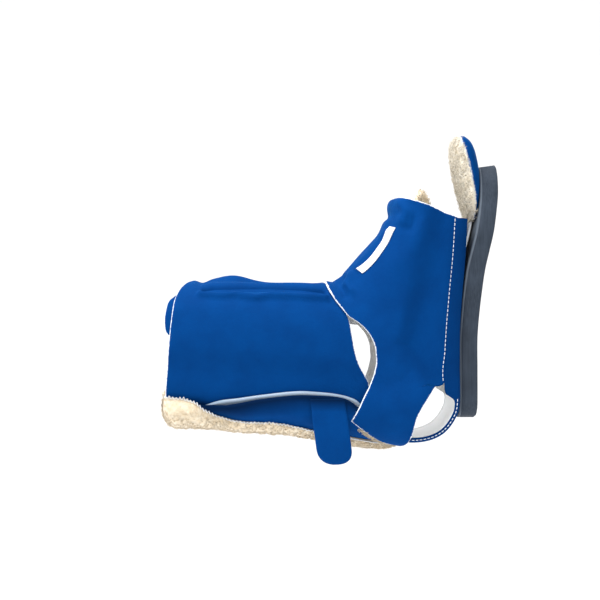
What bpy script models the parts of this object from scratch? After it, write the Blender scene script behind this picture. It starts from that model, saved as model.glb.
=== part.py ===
"""Foot positioning boot: a splint boot with calf wraps, foot wraps, toe pad and outsole.

Metres. +X runs from the calf mouth to the sole, +Z up to the toes, -Y is the side that is seen.
The origin is in the middle of the calf mouth, where the leg goes in.
"""
import bisect
import math

import bpy
import numpy as np

# Driving sizes of the leg and foot room
calf_reach = 0.2624          # calf mouth to the heel's centre
calf_front = 0.0577          # leg line up to the front of the calf room
calf_back = 0.0620           # leg line down to the back of the calf room at the mouth
calf_half_width = 0.0490
heel_drop = 0.0578           # leg line down to the heel's centre
heel_radius = 0.0348         # heel room round its centre
foot_height = 0.1840         # heel's centre up to the end of the sole plate
foot_depth = 0.1270          # sole plate to the bend of the ankle
foot_half_width = 0.0480
sole_bend = 0.0075           # how far the plate leans out at its toe end

# Layers
wrap_thickness = 0.0030
shell_thickness = 0.0028
sleeve_thickness = 0.0022
cover_thickness = 0.0030
liner_thickness = 0.0050
forefoot_thickness = 0.0045
label_thickness = 0.0007
layer_gap = 0.0012           # between curved layers that lie on each other
lining_gap = 0.0008          # between a wrap and what is sewn on it, inside or outside
seat_gap = 0.0004            # between pieces that rest or are sewn face to face
strap_room = 0.0050          # what the ankle straps stand out more where they pass the band
seam_gap = 0.0020            # between a wrap's edge and the sleeve's, which the seam joins
pad_gap = 0.0027             # between the pad's cover and its fleece at the corners
trough_gap = 0.0020          # the wraps' room in the trough

# Sleeve round the heel band and the sole plate
heel_lip = 0.0054            # blue rim beside the heel band, seen from the side
sole_lip = 0.0170            # sleeve's side up to the seam
sleeve_corner = 0.0016       # its rounded inside corner
band_waist = 0.0050          # the band is this much narrower on each side under the ankle straps

# Outsole
outsole_low = 0.0180         # how far it starts below the heel's centre
outsole_length = 0.2620
outsole_half_width = 0.0470
outsole_thickness = 0.0190
outsole_bend = 0.0200        # how far its toe end stands away from the heel's plane
outsole_edge = 0.0012

# Toe pad and its bar
toe_pad_low = 0.1860         # above the heel's centre
toe_pad_height = 0.0930
toe_pad_half_width = 0.0475
toe_pad_depth = 0.0260
toe_pad_corner = 4.0         # squareness seen from above
toe_bar_high = 0.2420        # above the heel's centre, in the pad's cover
toe_bar_half_width = 0.0125
toe_bar_thickness = 0.0022
toe_bar_low = 0.1560         # above the heel's centre
toe_strap_low = 0.1450
toe_strap_half_width = 0.0150
toe_strap_thickness = 0.0010

# Bulge of the calf wraps over the far side of the shin
swell_place = 2.95           # in section rows
swell_turn = 208.0
swell_height = 0.0090
swell_rows = 0.90            # half its length, in section rows
swell_spread = 26.0          # half its width, in degrees of turn

# Calf pad and the loose strap
pad_fleece_thickness = 0.0110
pad_sag = 0.0030             # how far the pad hangs away from the trough towards the ankle
strap_half_width = 0.0180
strap_length = 0.0640
strap_thickness = 0.0030
strap_along = 0.1722         # from the mouth to the strap's middle
strap_lean = 0.0060          # how far its end hangs towards the heel
strap_bow = 0.0020
strap_top_turn = 47.0        # where the strap leaves the trough

# Places that follow from the sizes
heel_x = calf_reach
heel_z = -heel_drop
sole_x = heel_x + heel_radius
shell_start = wrap_thickness + trough_gap
shell_outer = shell_start + shell_thickness
sleeve_start = shell_outer + seat_gap
sleeve_outer = sleeve_start + sleeve_thickness
cover_start = shell_outer + trough_gap
cover_outer = cover_start + cover_thickness
second_layer = wrap_thickness + layer_gap
third_layer = 2 * second_layer
outsole_face_x = sole_x + sleeve_outer + seat_gap

# Sections of the leg and foot room. Calf rows: shares of calf_reach for the back and front point,
# share of the way down to the heel, share of calf_front, share of calf_half_width, squareness
CALF_ROWS = (
    # back   front  drop   rise   width  square
    (-0.080, -0.060, -0.04, 1.00, 1.00, 4.4),
    (0.008, 0.030, 0.00, 1.00, 1.00, 4.4),
    (0.115, 0.120, 0.13, 1.00, 1.01, 4.6),
    (0.267, 0.267, 0.27, 1.00, 1.02, 4.8),
    (0.420, 0.410, 0.40, 1.00, 1.00, 5.0),
    (0.572, 0.545, 0.52, 1.00, 0.98, 5.5),
    (0.715, 0.620, 0.66, 0.98, 0.95, 6.5),
    (0.810, 0.655, 0.80, 0.95, 0.92, 7.5),
    (0.900, 0.680, 0.93, 0.95, 0.89, 8.0),
)
# Heel rows: degrees from straight down towards the sole, front point in shares of foot_depth
# ahead of the sole and of foot_height above the heel's centre, share of foot_half_width
HEEL_ROWS = (
    # angle  ahead  above  width
    (0.0, 0.895, 0.627, 0.900),
    (35.0, 0.856, 0.646, 0.890),
    (65.0, 0.805, 0.678, 0.890),
    (90.0, 0.742, 0.727, 0.900),
)
# Foot rows: sole point in shares of foot_height and of sole_bend, front point as above
FOOT_ROWS = (
    # height lean   ahead  above  width
    (0.205, 0.00, 0.663, 0.790, 0.920),
    (0.412, 0.03, 0.578, 0.852, 0.960),
    (0.608, 0.30, 0.500, 0.912, 1.000),
    (0.803, 0.70, 0.450, 0.988, 1.020),
    (1.000, 1.00, 0.398, 1.097, 1.000),
    (1.060, 1.07, 0.360, 1.190, 0.990),
    (1.160, 1.20, 0.330, 1.285, 0.970),
)
foot_square = 8.0
front_square = 2.3
corner_crowd = 1.4           # above 1, layers under the calf have more points at their corners

# Places along the rows, counted in rows
band_start = 8.3             # from here on the splint is a flat band
trough_end = 6.6             # up to here it is a trough
sleeve_begin = 9.22
plate_start = 12.45
plate_end = 16.9
last_row = 19.0

# Wraps, from one edge of each panel to the other. A row holds the place and the turn where it
# starts, on the mouth or ankle side, and the place and the turn where it ends
CALF_NEAR = (
    # start        end
    (0.90, 24.0, 5.20, 24.0),
    (0.90, 42.0, 7.35, 46.0),
    (0.93, 60.0, 7.75, 61.0),
    (0.96, 82.0, 7.51, 83.0),
    (0.99, 104.0, 7.50, 102.0),
    (1.03, 125.0, 7.73, 124.0),
    (1.12, 142.0, 8.02, 142.0),
    (1.35, 155.0, 7.00, 152.0),
    (1.60, 168.0, 6.10, 166.0),
    (1.80, 182.0, 5.70, 182.0),
    (1.80, 205.0, 5.60, 205.0),
    (1.60, 232.0, 5.50, 232.0),
)
CALF_FAR = (
    # start        end
    (1.00, 102.0, 5.00, 102.0),
    (0.80, 107.0, 5.20, 107.0),
    (0.71, 118.0, 5.30, 118.0),
    (0.70, 131.0, 5.40, 131.0),
    (0.80, 144.0, 5.45, 144.0),
    (1.10, 156.0, 5.50, 156.0),
    (1.45, 168.0, 5.50, 168.0),
    (1.70, 184.0, 5.60, 184.0),
    (1.55, 204.0, 6.60, 202.0),
    (1.20, 222.0, 8.00, 218.0),
    (1.00, 242.0, 7.73, 236.0),
    (0.96, 264.0, 7.50, 258.0),
    (0.93, 288.0, 7.51, 277.0),
    (0.90, 306.0, 7.75, 299.0),
    (0.90, 320.0, 7.35, 314.0),
    (0.90, 336.0, 5.20, 336.0),
)
# The foot wraps' rows between the first and the last named seam row end on the sleeve's seam
FOOT_NEAR = (
    # start        end
    (6.29, 35.3, 8.40, 20.0),
    (6.80, 43.0, 9.16, 30.6),
    (7.25, 51.0, 9.87, 35.0),
    (7.60, 57.0, 10.90, 37.2),
    (7.90, 63.5, 11.95, 35.5),
    (8.05, 67.3, 12.45, None),
    (8.20, 71.0, 12.90, None),
    (8.47, 80.0, 14.10, None),
    (8.75, 90.0, 15.20, None),
    (8.96, 100.5, 16.10, None),
    (9.15, 108.5, 17.05, None),
    (9.27, 117.0, 17.30, 72.0),
    (9.25, 128.5, 17.50, 92.0),
    (8.80, 138.5, 17.60, 111.0),
    (7.91, 143.1, 17.55, 127.0),
    (7.12, 150.4, 17.45, 145.0),
    (6.40, 160.5, 17.40, 162.0),
    (6.25, 180.0, 17.35, 180.0),
    (6.45, 205.0, 17.20, 205.0),
    (6.90, 226.0, 17.00, 226.0),
)
FOOT_FAR = (
    # start        end
    (6.29, 324.7, 8.40, 340.0),
    (6.80, 317.0, 9.16, 329.4),
    (7.25, 309.0, 9.87, 325.0),
    (7.60, 303.0, 10.90, 322.8),
    (7.90, 296.5, 11.95, 324.5),
    (8.05, 292.7, 12.45, None),
    (8.20, 289.0, 12.90, None),
    (8.47, 280.0, 14.10, None),
    (8.75, 270.0, 15.20, None),
    (8.96, 259.5, 16.10, None),
    (9.15, 251.5, 17.05, None),
    (9.27, 243.0, 17.60, 286.0),
    (9.25, 231.5, 18.35, 266.0),
    (8.80, 221.5, 18.75, 249.0),
    (7.91, 214.9, 18.45, 235.0),
    (7.20, 208.0, 17.85, 219.0),
    (6.60, 199.0, 17.40, 199.0),
    (6.50, 185.0, 17.30, 180.0),
    (7.20, 172.0, 17.20, 164.0),
    (8.60, 168.0, 17.10, 152.0),
)
FOREFOOT_FLEECE = (
    # start        end
    (14.60, 290.0, 17.30, 291.0),
    (14.60, 283.0, 17.75, 284.0),
    (14.60, 266.0, 18.45, 266.0),
    (14.60, 249.0, 18.85, 249.0),
    (14.60, 233.0, 18.50, 235.0),
    (14.60, 217.0, 17.90, 219.0),
    (14.60, 199.0, 17.45, 199.0),
    (14.60, 184.0, 17.30, 184.0),
)
LABEL = (
    # start        end
    (12.25, 166.0, 16.00, 137.0),
    (12.35, 156.0, 16.05, 124.0),
)
# Half of the turn that each piece under the calf covers, by place
SHELL_RIM = ((1.10, 8.0), (1.45, 18.0), (2.00, 32.0), (2.62, 42.0), (3.20, 45.5), (3.73, 48.0),
             (4.69, 51.5), (5.30, 51.3), (5.79, 50.3), (6.38, 48.0), (6.80, 45.5), (7.30, 41.0), (8.00, 34.0))
COVER_RIM = ((0.75, 37.0), (1.50, 38.0), (2.10, 39.5), (2.62, 41.0), (3.20, 43.5), (3.73, 46.0),
             (4.69, 48.7), (5.30, 47.5), (5.80, 41.5), (6.30, 32.0), (7.00, 27.0), (7.90, 20.0), (8.30, 13.0))
FLEECE_RIM = ((0.72, 44.0), (2.05, 43.5), (2.38, 39.0), (2.70, 34.5), (3.20, 31.5), (4.20, 32.5),
              (5.20, 29.5), (6.20, 26.5), (7.00, 23.0), (7.90, 17.0), (8.35, 12.0))
LINER_RIM = ((0.74, 40.0), (5.20, 40.0))
# Pad fleece: share of its thickness by place
FLEECE_BODY = ((0.72, 0.85), (0.95, 1.55), (1.40, 1.50), (2.00, 1.15), (3.00, 0.84), (4.20, 0.55),
               (5.20, 0.78), (6.20, 0.86), (7.00, 0.75), (7.90, 0.62), (8.35, 0.50))
# Pad: share of pad_sag by place
PAD_SAG = ((0.70, 0.0), (4.20, 0.0), (5.20, 0.75), (6.20, 1.00), (7.20, 0.50), (8.35, 0.10))
# Sleeve's side seen beside the sole: share of the way from heel_lip to sole_lip, by place
LIP_REACH = ((8.40, 0.0), (11.80, 0.0), (12.05, 0.25), (12.45, 1.0), (13.20, 0.84), (14.50, 0.74),
             (17.00, 0.70))
# Outsole: height share, inner face and outer face as shares of bend and thickness, width share
OUTSOLE = (
    # height bend   outer  width
    (0.000, 0.000, 0.93, 0.42),
    (0.012, 0.000, 0.97, 0.60),
    (0.040, 0.000, 1.00, 0.73),
    (0.090, 0.000, 1.00, 0.78),
    (0.200, 0.000, 1.00, 0.77),
    (0.320, 0.000, 1.00, 0.77),
    (0.410, 0.070, 1.00, 0.82),
    (0.500, 0.160, 1.02, 0.90),
    (0.590, 0.310, 1.02, 0.97),
    (0.670, 0.560, 1.00, 1.00),
    (0.740, 0.790, 0.98, 1.00),
    (0.820, 0.960, 0.96, 0.97),
    (0.890, 1.000, 0.94, 0.89),
    (0.950, 1.000, 0.90, 0.74),
    (0.985, 0.990, 0.86, 0.55),
    (1.000, 0.985, 0.80, 0.40),
)
# Toe pad: height share, front, seam and back as shares of the depth, width share
TOE_PAD = (
    # height front seam   back   width
    (0.000, 0.80, 0.90, 1.00, 0.80),
    (0.100, 0.68, 0.89, 1.00, 0.94),
    (0.225, 0.46, 0.88, 1.00, 1.00),
    (0.440, 0.30, 0.86, 1.00, 1.00),
    (0.645, 0.18, 0.77, 1.00, 0.98),
    (0.830, 0.02, 0.68, 1.00, 0.93),
    (0.920, 0.00, 0.56, 0.96, 0.84),
    (0.975, 0.08, 0.52, 0.86, 0.70),
    (1.000, 0.20, 0.50, 0.76, 0.58),
)

for old_object in list(bpy.data.objects):
    bpy.data.objects.remove(old_object, do_unlink=True)
part_collection = bpy.data.collections.new("foot_positioning_boot")
bpy.context.scene.collection.children.link(part_collection)


def finish(name, color, roughness, metallic=0.0):
    """A plain material for one piece."""
    material = bpy.data.materials.new(name)
    material.use_nodes = True
    shader = material.node_tree.nodes["Principled BSDF"]
    shader.inputs["Base Color"].default_value = (*color, 1.0)
    shader.inputs["Roughness"].default_value = roughness
    shader.inputs["Metallic"].default_value = metallic
    material.diffuse_color = (*color, 1.0)
    return material


def smooth_read(table, x):
    """Read a table of (place, value) pairs as one smooth curve through its rows."""
    places = [row[0] for row in table]
    values = [np.asarray(row[1], dtype=float) for row in table]
    x = min(max(x, places[0]), places[-1])
    i = min(max(bisect.bisect_right(places, x) - 1, 0), len(places) - 2)
    span = places[i + 1] - places[i]

    def slope(k):
        low = max(k - 1, 0)
        high = min(k + 1, len(places) - 1)
        return (values[high] - values[low]) / (places[high] - places[low])

    t = (x - places[i]) / span
    return (values[i] * (2 * t**3 - 3 * t**2 + 1) + values[i + 1] * (3 * t**2 - 2 * t**3)
            + span * (slope(i) * (t**3 - 2 * t**2 + t) + slope(i + 1) * (t**3 - t**2)))


def ramp(x, low, high):
    """0 below low, 1 above high, smooth between."""
    t = min(max((x - low) / (high - low), 0.0), 1.0)
    return t * t * (3 - 2 * t)


def room_sections():
    """Each section as back x, back z, front x, front z, half width and squareness."""
    heel_bottom = heel_drop + heel_radius
    rows = []
    for back, front, drop, rise, width, square in CALF_ROWS:
        depth = calf_back + (heel_bottom - calf_back) * drop
        rows.append((back * calf_reach, -depth, front * calf_reach, rise * calf_front,
                     width * calf_half_width, square))
    for angle, ahead, above, width in HEEL_ROWS:
        turn = math.radians(angle)
        rows.append((heel_x + heel_radius * math.sin(turn), heel_z - heel_radius * math.cos(turn),
                     sole_x - ahead * foot_depth, heel_z + above * foot_height,
                     width * foot_half_width, foot_square))
    for height, lean, ahead, above, width in FOOT_ROWS:
        rows.append((sole_x + lean * sole_bend, heel_z + height * foot_height,
                     sole_x - ahead * foot_depth, heel_z + above * foot_height,
                     width * foot_half_width, foot_square))
    return [(float(place), row) for place, row in enumerate(rows)]


SECTIONS = room_sections()


def room_point(place, turn):
    """A point of the room's wall: turn 0 is the back or sole, 90 the near side, 180 the front."""
    back_x, back_z, front_x, front_z, half_width, square = smooth_read(SECTIONS, place)
    middle = np.array(((back_x + front_x) / 2, 0.0, (back_z + front_z) / 2))
    to_back = np.array((back_x - front_x, 0.0, back_z - front_z)) / 2
    half_depth = np.linalg.norm(to_back)
    along = math.cos(math.radians(turn))
    aside = math.sin(math.radians(turn))
    power = square if along > 0 else front_square
    reach = (abs(along / half_depth) ** power + abs(aside / half_width) ** power) ** (-1 / power)
    return middle + to_back / half_depth * along * reach + np.array((0.0, -aside * reach, 0.0))


def wall_point(place, turn, lift=0.0):
    """The wall's point, moved out of the room by lift."""
    step = 0.02
    low = max(place - step, 0.0)
    high = min(place + step, last_row)
    down = room_point(high, turn) - room_point(low, turn)
    round_it = room_point(place, turn + 1.0) - room_point(place, turn - 1.0)
    normal = np.cross(down, round_it)
    length = np.linalg.norm(normal)
    return room_point(place, turn) + normal / length * lift


def sole_frame(place):
    """The sole line's point, the direction out of the room there, and the half width."""
    row = smooth_read(SECTIONS, place)
    step = 0.02
    ahead = smooth_read(SECTIONS, min(place + step, last_row))
    behind = smooth_read(SECTIONS, max(place - step, 0.0))
    run = np.array((ahead[0] - behind[0], 0.0, ahead[1] - behind[1]))
    run /= np.linalg.norm(run)
    out = np.array((run[2], 0.0, -run[0]))
    return np.array((row[0], 0.0, row[1])), out, row[4]


def add_mesh(name, points, faces, material):
    mesh = bpy.data.meshes.new(name)
    mesh.from_pydata([tuple(point) for point in points], [], faces)
    mesh.validate()
    mesh.materials.append(material)
    mesh.shade_smooth()
    obj = bpy.data.objects.new(name, mesh)
    part_collection.objects.link(obj)
    return obj


def grid_sheet(name, rows, thickness, material, flip=False):
    """An open sheet through rows of points, thickened away from the room."""
    across = len(rows[0])
    points = [point for row in rows for point in row]
    faces = []
    for i in range(len(rows) - 1):
        for j in range(across - 1):
            corner = i * across + j
            face = (corner, corner + 1, corner + across + 1, corner + across)
            faces.append(face[::-1] if flip else face)
    sheet = add_mesh(name, points, faces, material)
    wall = sheet.modifiers.new("wall", "SOLIDIFY")
    wall.thickness = thickness
    wall.offset = 1.0
    wall.use_even_offset = True
    wall.use_quality_normals = True
    return sheet


def ring_loft(name, rings, material):
    """A closed body through rings of points, with flat ends."""
    around = len(rings[0])
    points = [point for ring in rings for point in ring]
    faces = []
    for i in range(len(rings) - 1):
        for j in range(around):
            k = (j + 1) % around
            faces.append((i * around + j, i * around + k, (i + 1) * around + k, (i + 1) * around + j))
    faces.append(tuple(range(around))[::-1])
    last = (len(rings) - 1) * around
    faces.append(tuple(range(last, last + around)))
    return add_mesh(name, points, faces, material)


def seam_turn(place, far):
    """The turn at which a wrap meets the sleeve's seam."""
    foot, out, _ = sole_frame(place)
    reach = lip_reach(place) - sleeve_outer + seam_gap
    low, high = 12.0, 85.0
    for _ in range(24):
        middle = (low + high) / 2
        if np.dot(foot - room_point(place, middle), out) < reach:
            low = middle
        else:
            high = middle
    return 360.0 - high if far else high


def lip_reach(place):
    return heel_lip + (sole_lip - heel_lip) * float(smooth_read(LIP_REACH, place))


def row_middle(row):
    """The room's wall point halfway along a panel's row."""
    place, turn, end_place, end_turn = row
    return room_point((place + end_place) / 2, (turn + end_turn) / 2)


def panel_rows(table, lift, rows, columns, far=False):
    """Points of a wrap, read smoothly along its table and straight across each row."""
    filled = []
    for place, turn, end_place, end_turn in table:
        if end_turn is None:
            end_turn = seam_turn(end_place, far)
        filled.append((place, turn, end_place, end_turn))
    numbered = [(0.0, filled[0])]
    for before, row in zip(filled, filled[1:]):
        step = np.linalg.norm(row_middle(row) - row_middle(before))
        numbered.append((numbered[-1][0] + step, row))
    points = []
    for i in range(rows + 1):
        place, turn, end_place, end_turn = smooth_read(numbered, numbered[-1][0] * i / rows)
        line = []
        for j in range(columns + 1):
            t = j / columns
            at = place + (end_place - place) * t
            around = turn + (end_turn - turn) * t
            line.append(wall_point(at, around, lift(at, around)))
        points.append(line)
    return points


def calf_swell(place, turn):
    """Both calf wraps bulge together, so the outer one keeps its height over the inner."""
    along = (place - swell_place) / swell_rows
    around = (turn - swell_turn) / swell_spread
    return swell_height * math.exp(-along ** 2 - around ** 2)


def calf_near_lift(place, turn):
    return second_layer * ramp(turn, 62.0, 92.0) + calf_swell(place, turn)


def strap_share(place):
    """1 along the ankle strap, 0 over the foot."""
    return 1 - ramp(place, 10.5, 12.5)


def strap_bulge(place, turn):
    """Room for the band's corners under the ankle strap."""
    return strap_room * (1 - ramp(turn, 38.0, 62.0)) * (1 - ramp(place, 10.3, 12.0))


def foot_near_lift(place, turn):
    return third_layer * max(strap_share(place), ramp(turn, 70.0, 105.0)) + strap_bulge(place, turn)


def foot_far_lift(place, turn):
    mirrored = 360.0 - turn
    lower = second_layer * max(strap_share(place), ramp(mirrored, 70.0, 105.0))
    upper = (third_layer - second_layer) * strap_share(place) * (1 - ramp(mirrored, 105.0, 130.0))
    return lower + upper + strap_bulge(place, mirrored)


def make_wraps(blue):
    grid_sheet("calf_wrap_far", panel_rows(CALF_FAR, calf_swell, 25, 14), wrap_thickness, blue)
    grid_sheet("calf_wrap_near", panel_rows(CALF_NEAR, calf_near_lift, 23, 14), wrap_thickness, blue)
    grid_sheet("foot_wrap_far", panel_rows(FOOT_FAR, foot_far_lift, 26, 13, far=True),
               wrap_thickness, blue, flip=True)
    grid_sheet("foot_wrap_near", panel_rows(FOOT_NEAR, foot_near_lift, 26, 13), wrap_thickness, blue)


def make_label(white):
    outer = third_layer + wrap_thickness + lining_gap
    grid_sheet("label_patch", panel_rows(LABEL, lambda place, turn: outer, 4, 8), label_thickness, white,
               flip=True)


def make_fleeces(cream):
    inside = -lining_gap - forefoot_thickness
    grid_sheet("forefoot_fleece", panel_rows(FOREFOOT_FLEECE, lambda place, turn: inside, 12, 6),
               forefoot_thickness, cream, flip=True)
    inside = -lining_gap - liner_thickness
    rows = under_rows(LINER_RIM, 10, 12, lambda place, turn: inside)
    grid_sheet("calf_liner_fleece", rows, liner_thickness, cream, flip=True)


def across_shares(columns):
    """Shares from -1 to 1 across a layer under the calf, closer together at its rounded corners."""
    even = [2 * j / columns - 1 for j in range(columns + 1)]
    return [math.copysign(1 - (1 - abs(t)) ** corner_crowd, t) for t in even]


def under_rows(rim, rows, columns, lift):
    """Points of a layer under the calf, from the far rim to the near rim."""
    points = []
    for i in range(rows + 1):
        place = rim[0][0] + (rim[-1][0] - rim[0][0]) * i / rows
        half = float(smooth_read(rim, place))
        turns = [half * share for share in across_shares(columns)]
        points.append([wall_point(place, turn, lift(place, turn)) for turn in turns])
    return points


def band_places(start, end):
    """Places along the heel band and the sole plate, the same for all that follows them."""
    common = np.concatenate((np.linspace(8.8, plate_start, 11), np.linspace(13.0, 16.4, 6)))
    return [start] + [place for place in common if start + 0.1 < place < end - 0.1] + [end]


def make_shell(white):
    """The trough, the band round the heel and the plate under the foot, as one bent sheet."""
    columns = 13
    rows = []
    places = list(np.linspace(1.1, trough_end, 14)) + list(np.linspace(trough_end, band_start, 5))[1:-1]
    places += band_places(band_start, plate_end)
    for place in places:
        foot, out, half_width = sole_frame(place)
        flat = ramp(place, trough_end, band_start)
        narrow = band_waist * (1 - ramp(place, 8.4, 9.6))
        half_turn = float(smooth_read(SHELL_RIM, place))
        line = []
        for share in across_shares(columns):
            curved = wall_point(place, half_turn * share, shell_start)
            level = foot + out * shell_start
            level = level + np.array((0.0, -(half_width - sleeve_corner - seat_gap - narrow) * share, 0.0))
            line.append(curved * (1 - flat) + level * flat)
        rows.append(line)
    grid_sheet("splint_shell", rows, shell_thickness, white, flip=True)


def make_sleeve(blue):
    """A channel round the band's edges and back, with deep sides beside the sole."""
    rows = []
    places = band_places(sleeve_begin, plate_end + 0.08)
    for place in places:
        foot, out, half_width = sole_frame(place)
        lip = sleeve_outer - lip_reach(place)
        section = ((lip, 1.0), (sleeve_start - sleeve_corner, 1.0),
                   (sleeve_start, 1.0 - sleeve_corner / half_width),
                   (sleeve_start, 0.5), (sleeve_start, 0.0))
        half = [foot + out * depth + np.array((0.0, -half_width * share, 0.0)) for depth, share in section]
        mirrored = [point * np.array((1.0, -1.0, 1.0)) for point in half[:-1]]
        rows.append(mirrored + half[::-1])
    grid_sheet("sole_sleeve", rows, sleeve_thickness, blue, flip=True)


def pad_sag_at(place, turn):
    """How far the pad hangs below the trough."""
    return pad_sag * float(smooth_read(PAD_SAG, place)) * math.cos(math.radians(turn)) ** 8


def make_calf_pad(blue, cream):
    cover = under_rows(COVER_RIM, 20, 14, lambda place, turn: cover_start + pad_sag_at(place, turn))
    grid_sheet("calf_pad_cover", cover, cover_thickness, blue, flip=True)

    def fleece_in(place, turn):
        return cover_outer + pad_gap + pad_sag_at(place, turn)

    def fleece_out(place, turn):
        body = pad_fleece_thickness * float(smooth_read(FLEECE_BODY, place))
        edge = abs(turn) / float(smooth_read(FLEECE_RIM, place))
        return fleece_in(place, turn) + body * (1 - 0.55 * edge ** 6)

    inner = under_rows(FLEECE_RIM, 18, 10, fleece_in)
    outer = under_rows(FLEECE_RIM, 18, 10, fleece_out)
    layered_body("calf_pad_fleece", inner, outer, cream)


def layered_body(name, inner, outer, material):
    """A closed body between two grids of points, the inner and the outer."""
    down, across = len(inner), len(inner[0])
    points = [point for grid in (inner, outer) for row in grid for point in row]
    shift = down * across
    faces = []
    for i in range(down - 1):
        for j in range(across - 1):
            a, b = i * across + j, i * across + j + 1
            c, d = b + across, a + across
            faces.append((a, b, c, d))
            faces.append((d + shift, c + shift, b + shift, a + shift))
    edge = [(0, j) for j in range(across)] + [(i, across - 1) for i in range(1, down)]
    edge += [(down - 1, j) for j in range(across - 2, -1, -1)] + [(i, 0) for i in range(down - 2, 0, -1)]
    loop = [i * across + j for i, j in edge]
    for k, a in enumerate(loop):
        b = loop[(k + 1) % len(loop)]
        faces.append((b, a, a + shift, b + shift))
    return add_mesh(name, points, faces, material)


def make_strap(blue):
    """A flat strap with a round end, hanging beside the trough."""
    columns = 6
    place = float(np.interp(strap_along, [row[1][0] for row in SECTIONS[:9]], [row[0] for row in SECTIONS[:9]]))
    top = wall_point(place, strap_top_turn, cover_outer)
    side = max(-wall_point(near, turn, cover_outer + pad_sag_at(near, turn))[1]
               for turn in range(20, 52, 2) for near in (place - 0.5, place, place + 0.5)) + seat_gap
    rows = []
    for share in (0.0, 0.12, 0.25, 0.4, 0.55, 0.7, 0.8, 0.88, 0.94, 0.98, 1.0):
        end = max(share * strap_length - (strap_length - strap_half_width), 0.0) / strap_half_width
        half = strap_half_width * math.sqrt(max(1 - end ** 2, 0.04))
        middle = strap_along + strap_lean * (share - 0.5)
        bow = strap_bow * math.sin(math.pi * share)
        rows.append([np.array((middle + half * (1 - 2 * j / columns), -side - bow, top[2] - share * strap_length))
                     for j in range(columns + 1)])
    grid_sheet("loose_strap", rows, strap_thickness, blue)


def rounded_ring(front, back, half_width, z, count=20):
    """A closed ring at one height, a box with round corners seen from above."""
    ring = []
    for k in range(count):
        angle = 2 * math.pi * k / count
        x = (front + back) / 2 + (back - front) / 2 * signed_power(math.cos(angle), 2 / toe_pad_corner)
        y = half_width * signed_power(math.sin(angle), 2 / toe_pad_corner)
        ring.append(np.array((x, y, z)))
    return ring


def signed_power(value, power):
    return math.copysign(abs(value) ** power, value)


def outsole_inner(z):
    """The outsole's face towards the foot, at a height."""
    share = (z - (heel_z - outsole_low)) / outsole_length
    bend = float(smooth_read([(row[0], row[1]) for row in OUTSOLE], share))
    return outsole_face_x + outsole_bend * bend


def make_outsole(rubber):
    rings = []
    for height, bend, outer, width in OUTSOLE:
        z = heel_z - outsole_low + outsole_length * height
        front = outsole_face_x + outsole_bend * bend
        back = front + outsole_thickness * outer
        half = outsole_half_width * width
        side = outsole_edge
        rings.append([np.array((x, y, z)) for x, y in (
            (front + side, -half), (back - side, -half), (back, -half + side), (back, half - side),
            (back - side, half), (front + side, half), (front, half - side), (front, -half + side))])
    ring_loft("outsole", rings, rubber)


def make_toe_pad(blue, cream):
    bottom = heel_z + toe_pad_low
    behind = toe_bar_thickness + toe_strap_thickness + 3 * seat_gap
    covers = []
    fleeces = []
    for height, front, seam, back, width in TOE_PAD:
        z = bottom + toe_pad_height * height
        start = outsole_inner(z) - behind - toe_pad_depth
        half = toe_pad_half_width * width
        fleeces.append(rounded_ring(start + toe_pad_depth * front, start + toe_pad_depth * seam, half, z))
        covers.append(rounded_ring(start + toe_pad_depth * seam + seat_gap, start + toe_pad_depth * back,
                                   half, z))
    ring_loft("toe_pad_fleece", fleeces, cream)
    ring_loft("toe_pad_cover", covers, blue)


def make_toe_bar(metal, black):
    """A bent flat bar up from between the sleeve and the outsole, and the black strap behind it."""
    high = heel_z + toe_bar_high
    strap_front = toe_strap_thickness + seat_gap
    bar_front = strap_front + toe_bar_thickness + seat_gap
    for name, low, half, depth, thickness, material in (
            ("toe_bar_strap", toe_strap_low, toe_strap_half_width, strap_front, toe_strap_thickness, black),
            ("toe_bar", toe_bar_low, toe_bar_half_width, bar_front, toe_bar_thickness, metal)):
        rows = []
        for z in np.linspace(heel_z + low, high, 11):
            rows.append([np.array((outsole_inner(z) - depth, y, z)) for y in (half, -half)])
        grid_sheet(name, rows, thickness, material, flip=True)


laminate = finish("blue_laminate", (0.0, 0.060, 0.250), 0.75)
fleece = finish("cream_fleece", (0.80, 0.68, 0.50), 0.95)
plastic = finish("white_plastic", (0.82, 0.84, 0.86), 0.35)
make_shell(plastic)
make_sleeve(laminate)
make_wraps(laminate)
make_label(finish("white_patch", (0.85, 0.85, 0.84), 0.6))
make_fleeces(fleece)
make_calf_pad(laminate, fleece)
make_strap(laminate)
make_toe_pad(laminate, fleece)
make_toe_bar(finish("aluminium_bar", (0.70, 0.71, 0.72), 0.3, 1.0), finish("black_strap", (0.02, 0.02, 0.02), 0.7))
make_outsole(finish("slate_rubber", (0.045, 0.060, 0.075), 0.8))
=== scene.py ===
# %% [markdown]
# # A foot positioning boot, dressed
#
# The boot holds a resting leg with its foot square to it. A white plastic splint runs under the
# calf, round the heel and up behind the sole. Blue foam laminate, cut and sewn, wraps the calf and
# the instep. Fleece lies where the skin would rub, and a dark rubber sole closes the foot end.
#
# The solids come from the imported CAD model. Each cloth piece is made again here, finer, on the
# same surface: the wall of the room that the leg and foot take up. Every piece is a patch of that
# wall at its own height, so layers that are sewn on each other can't cut through each other.

# %% Load the frame
import math

import bpy
import numpy as np
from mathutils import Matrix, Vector, noise
from mathutils.bvhtree import BVHTree


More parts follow.
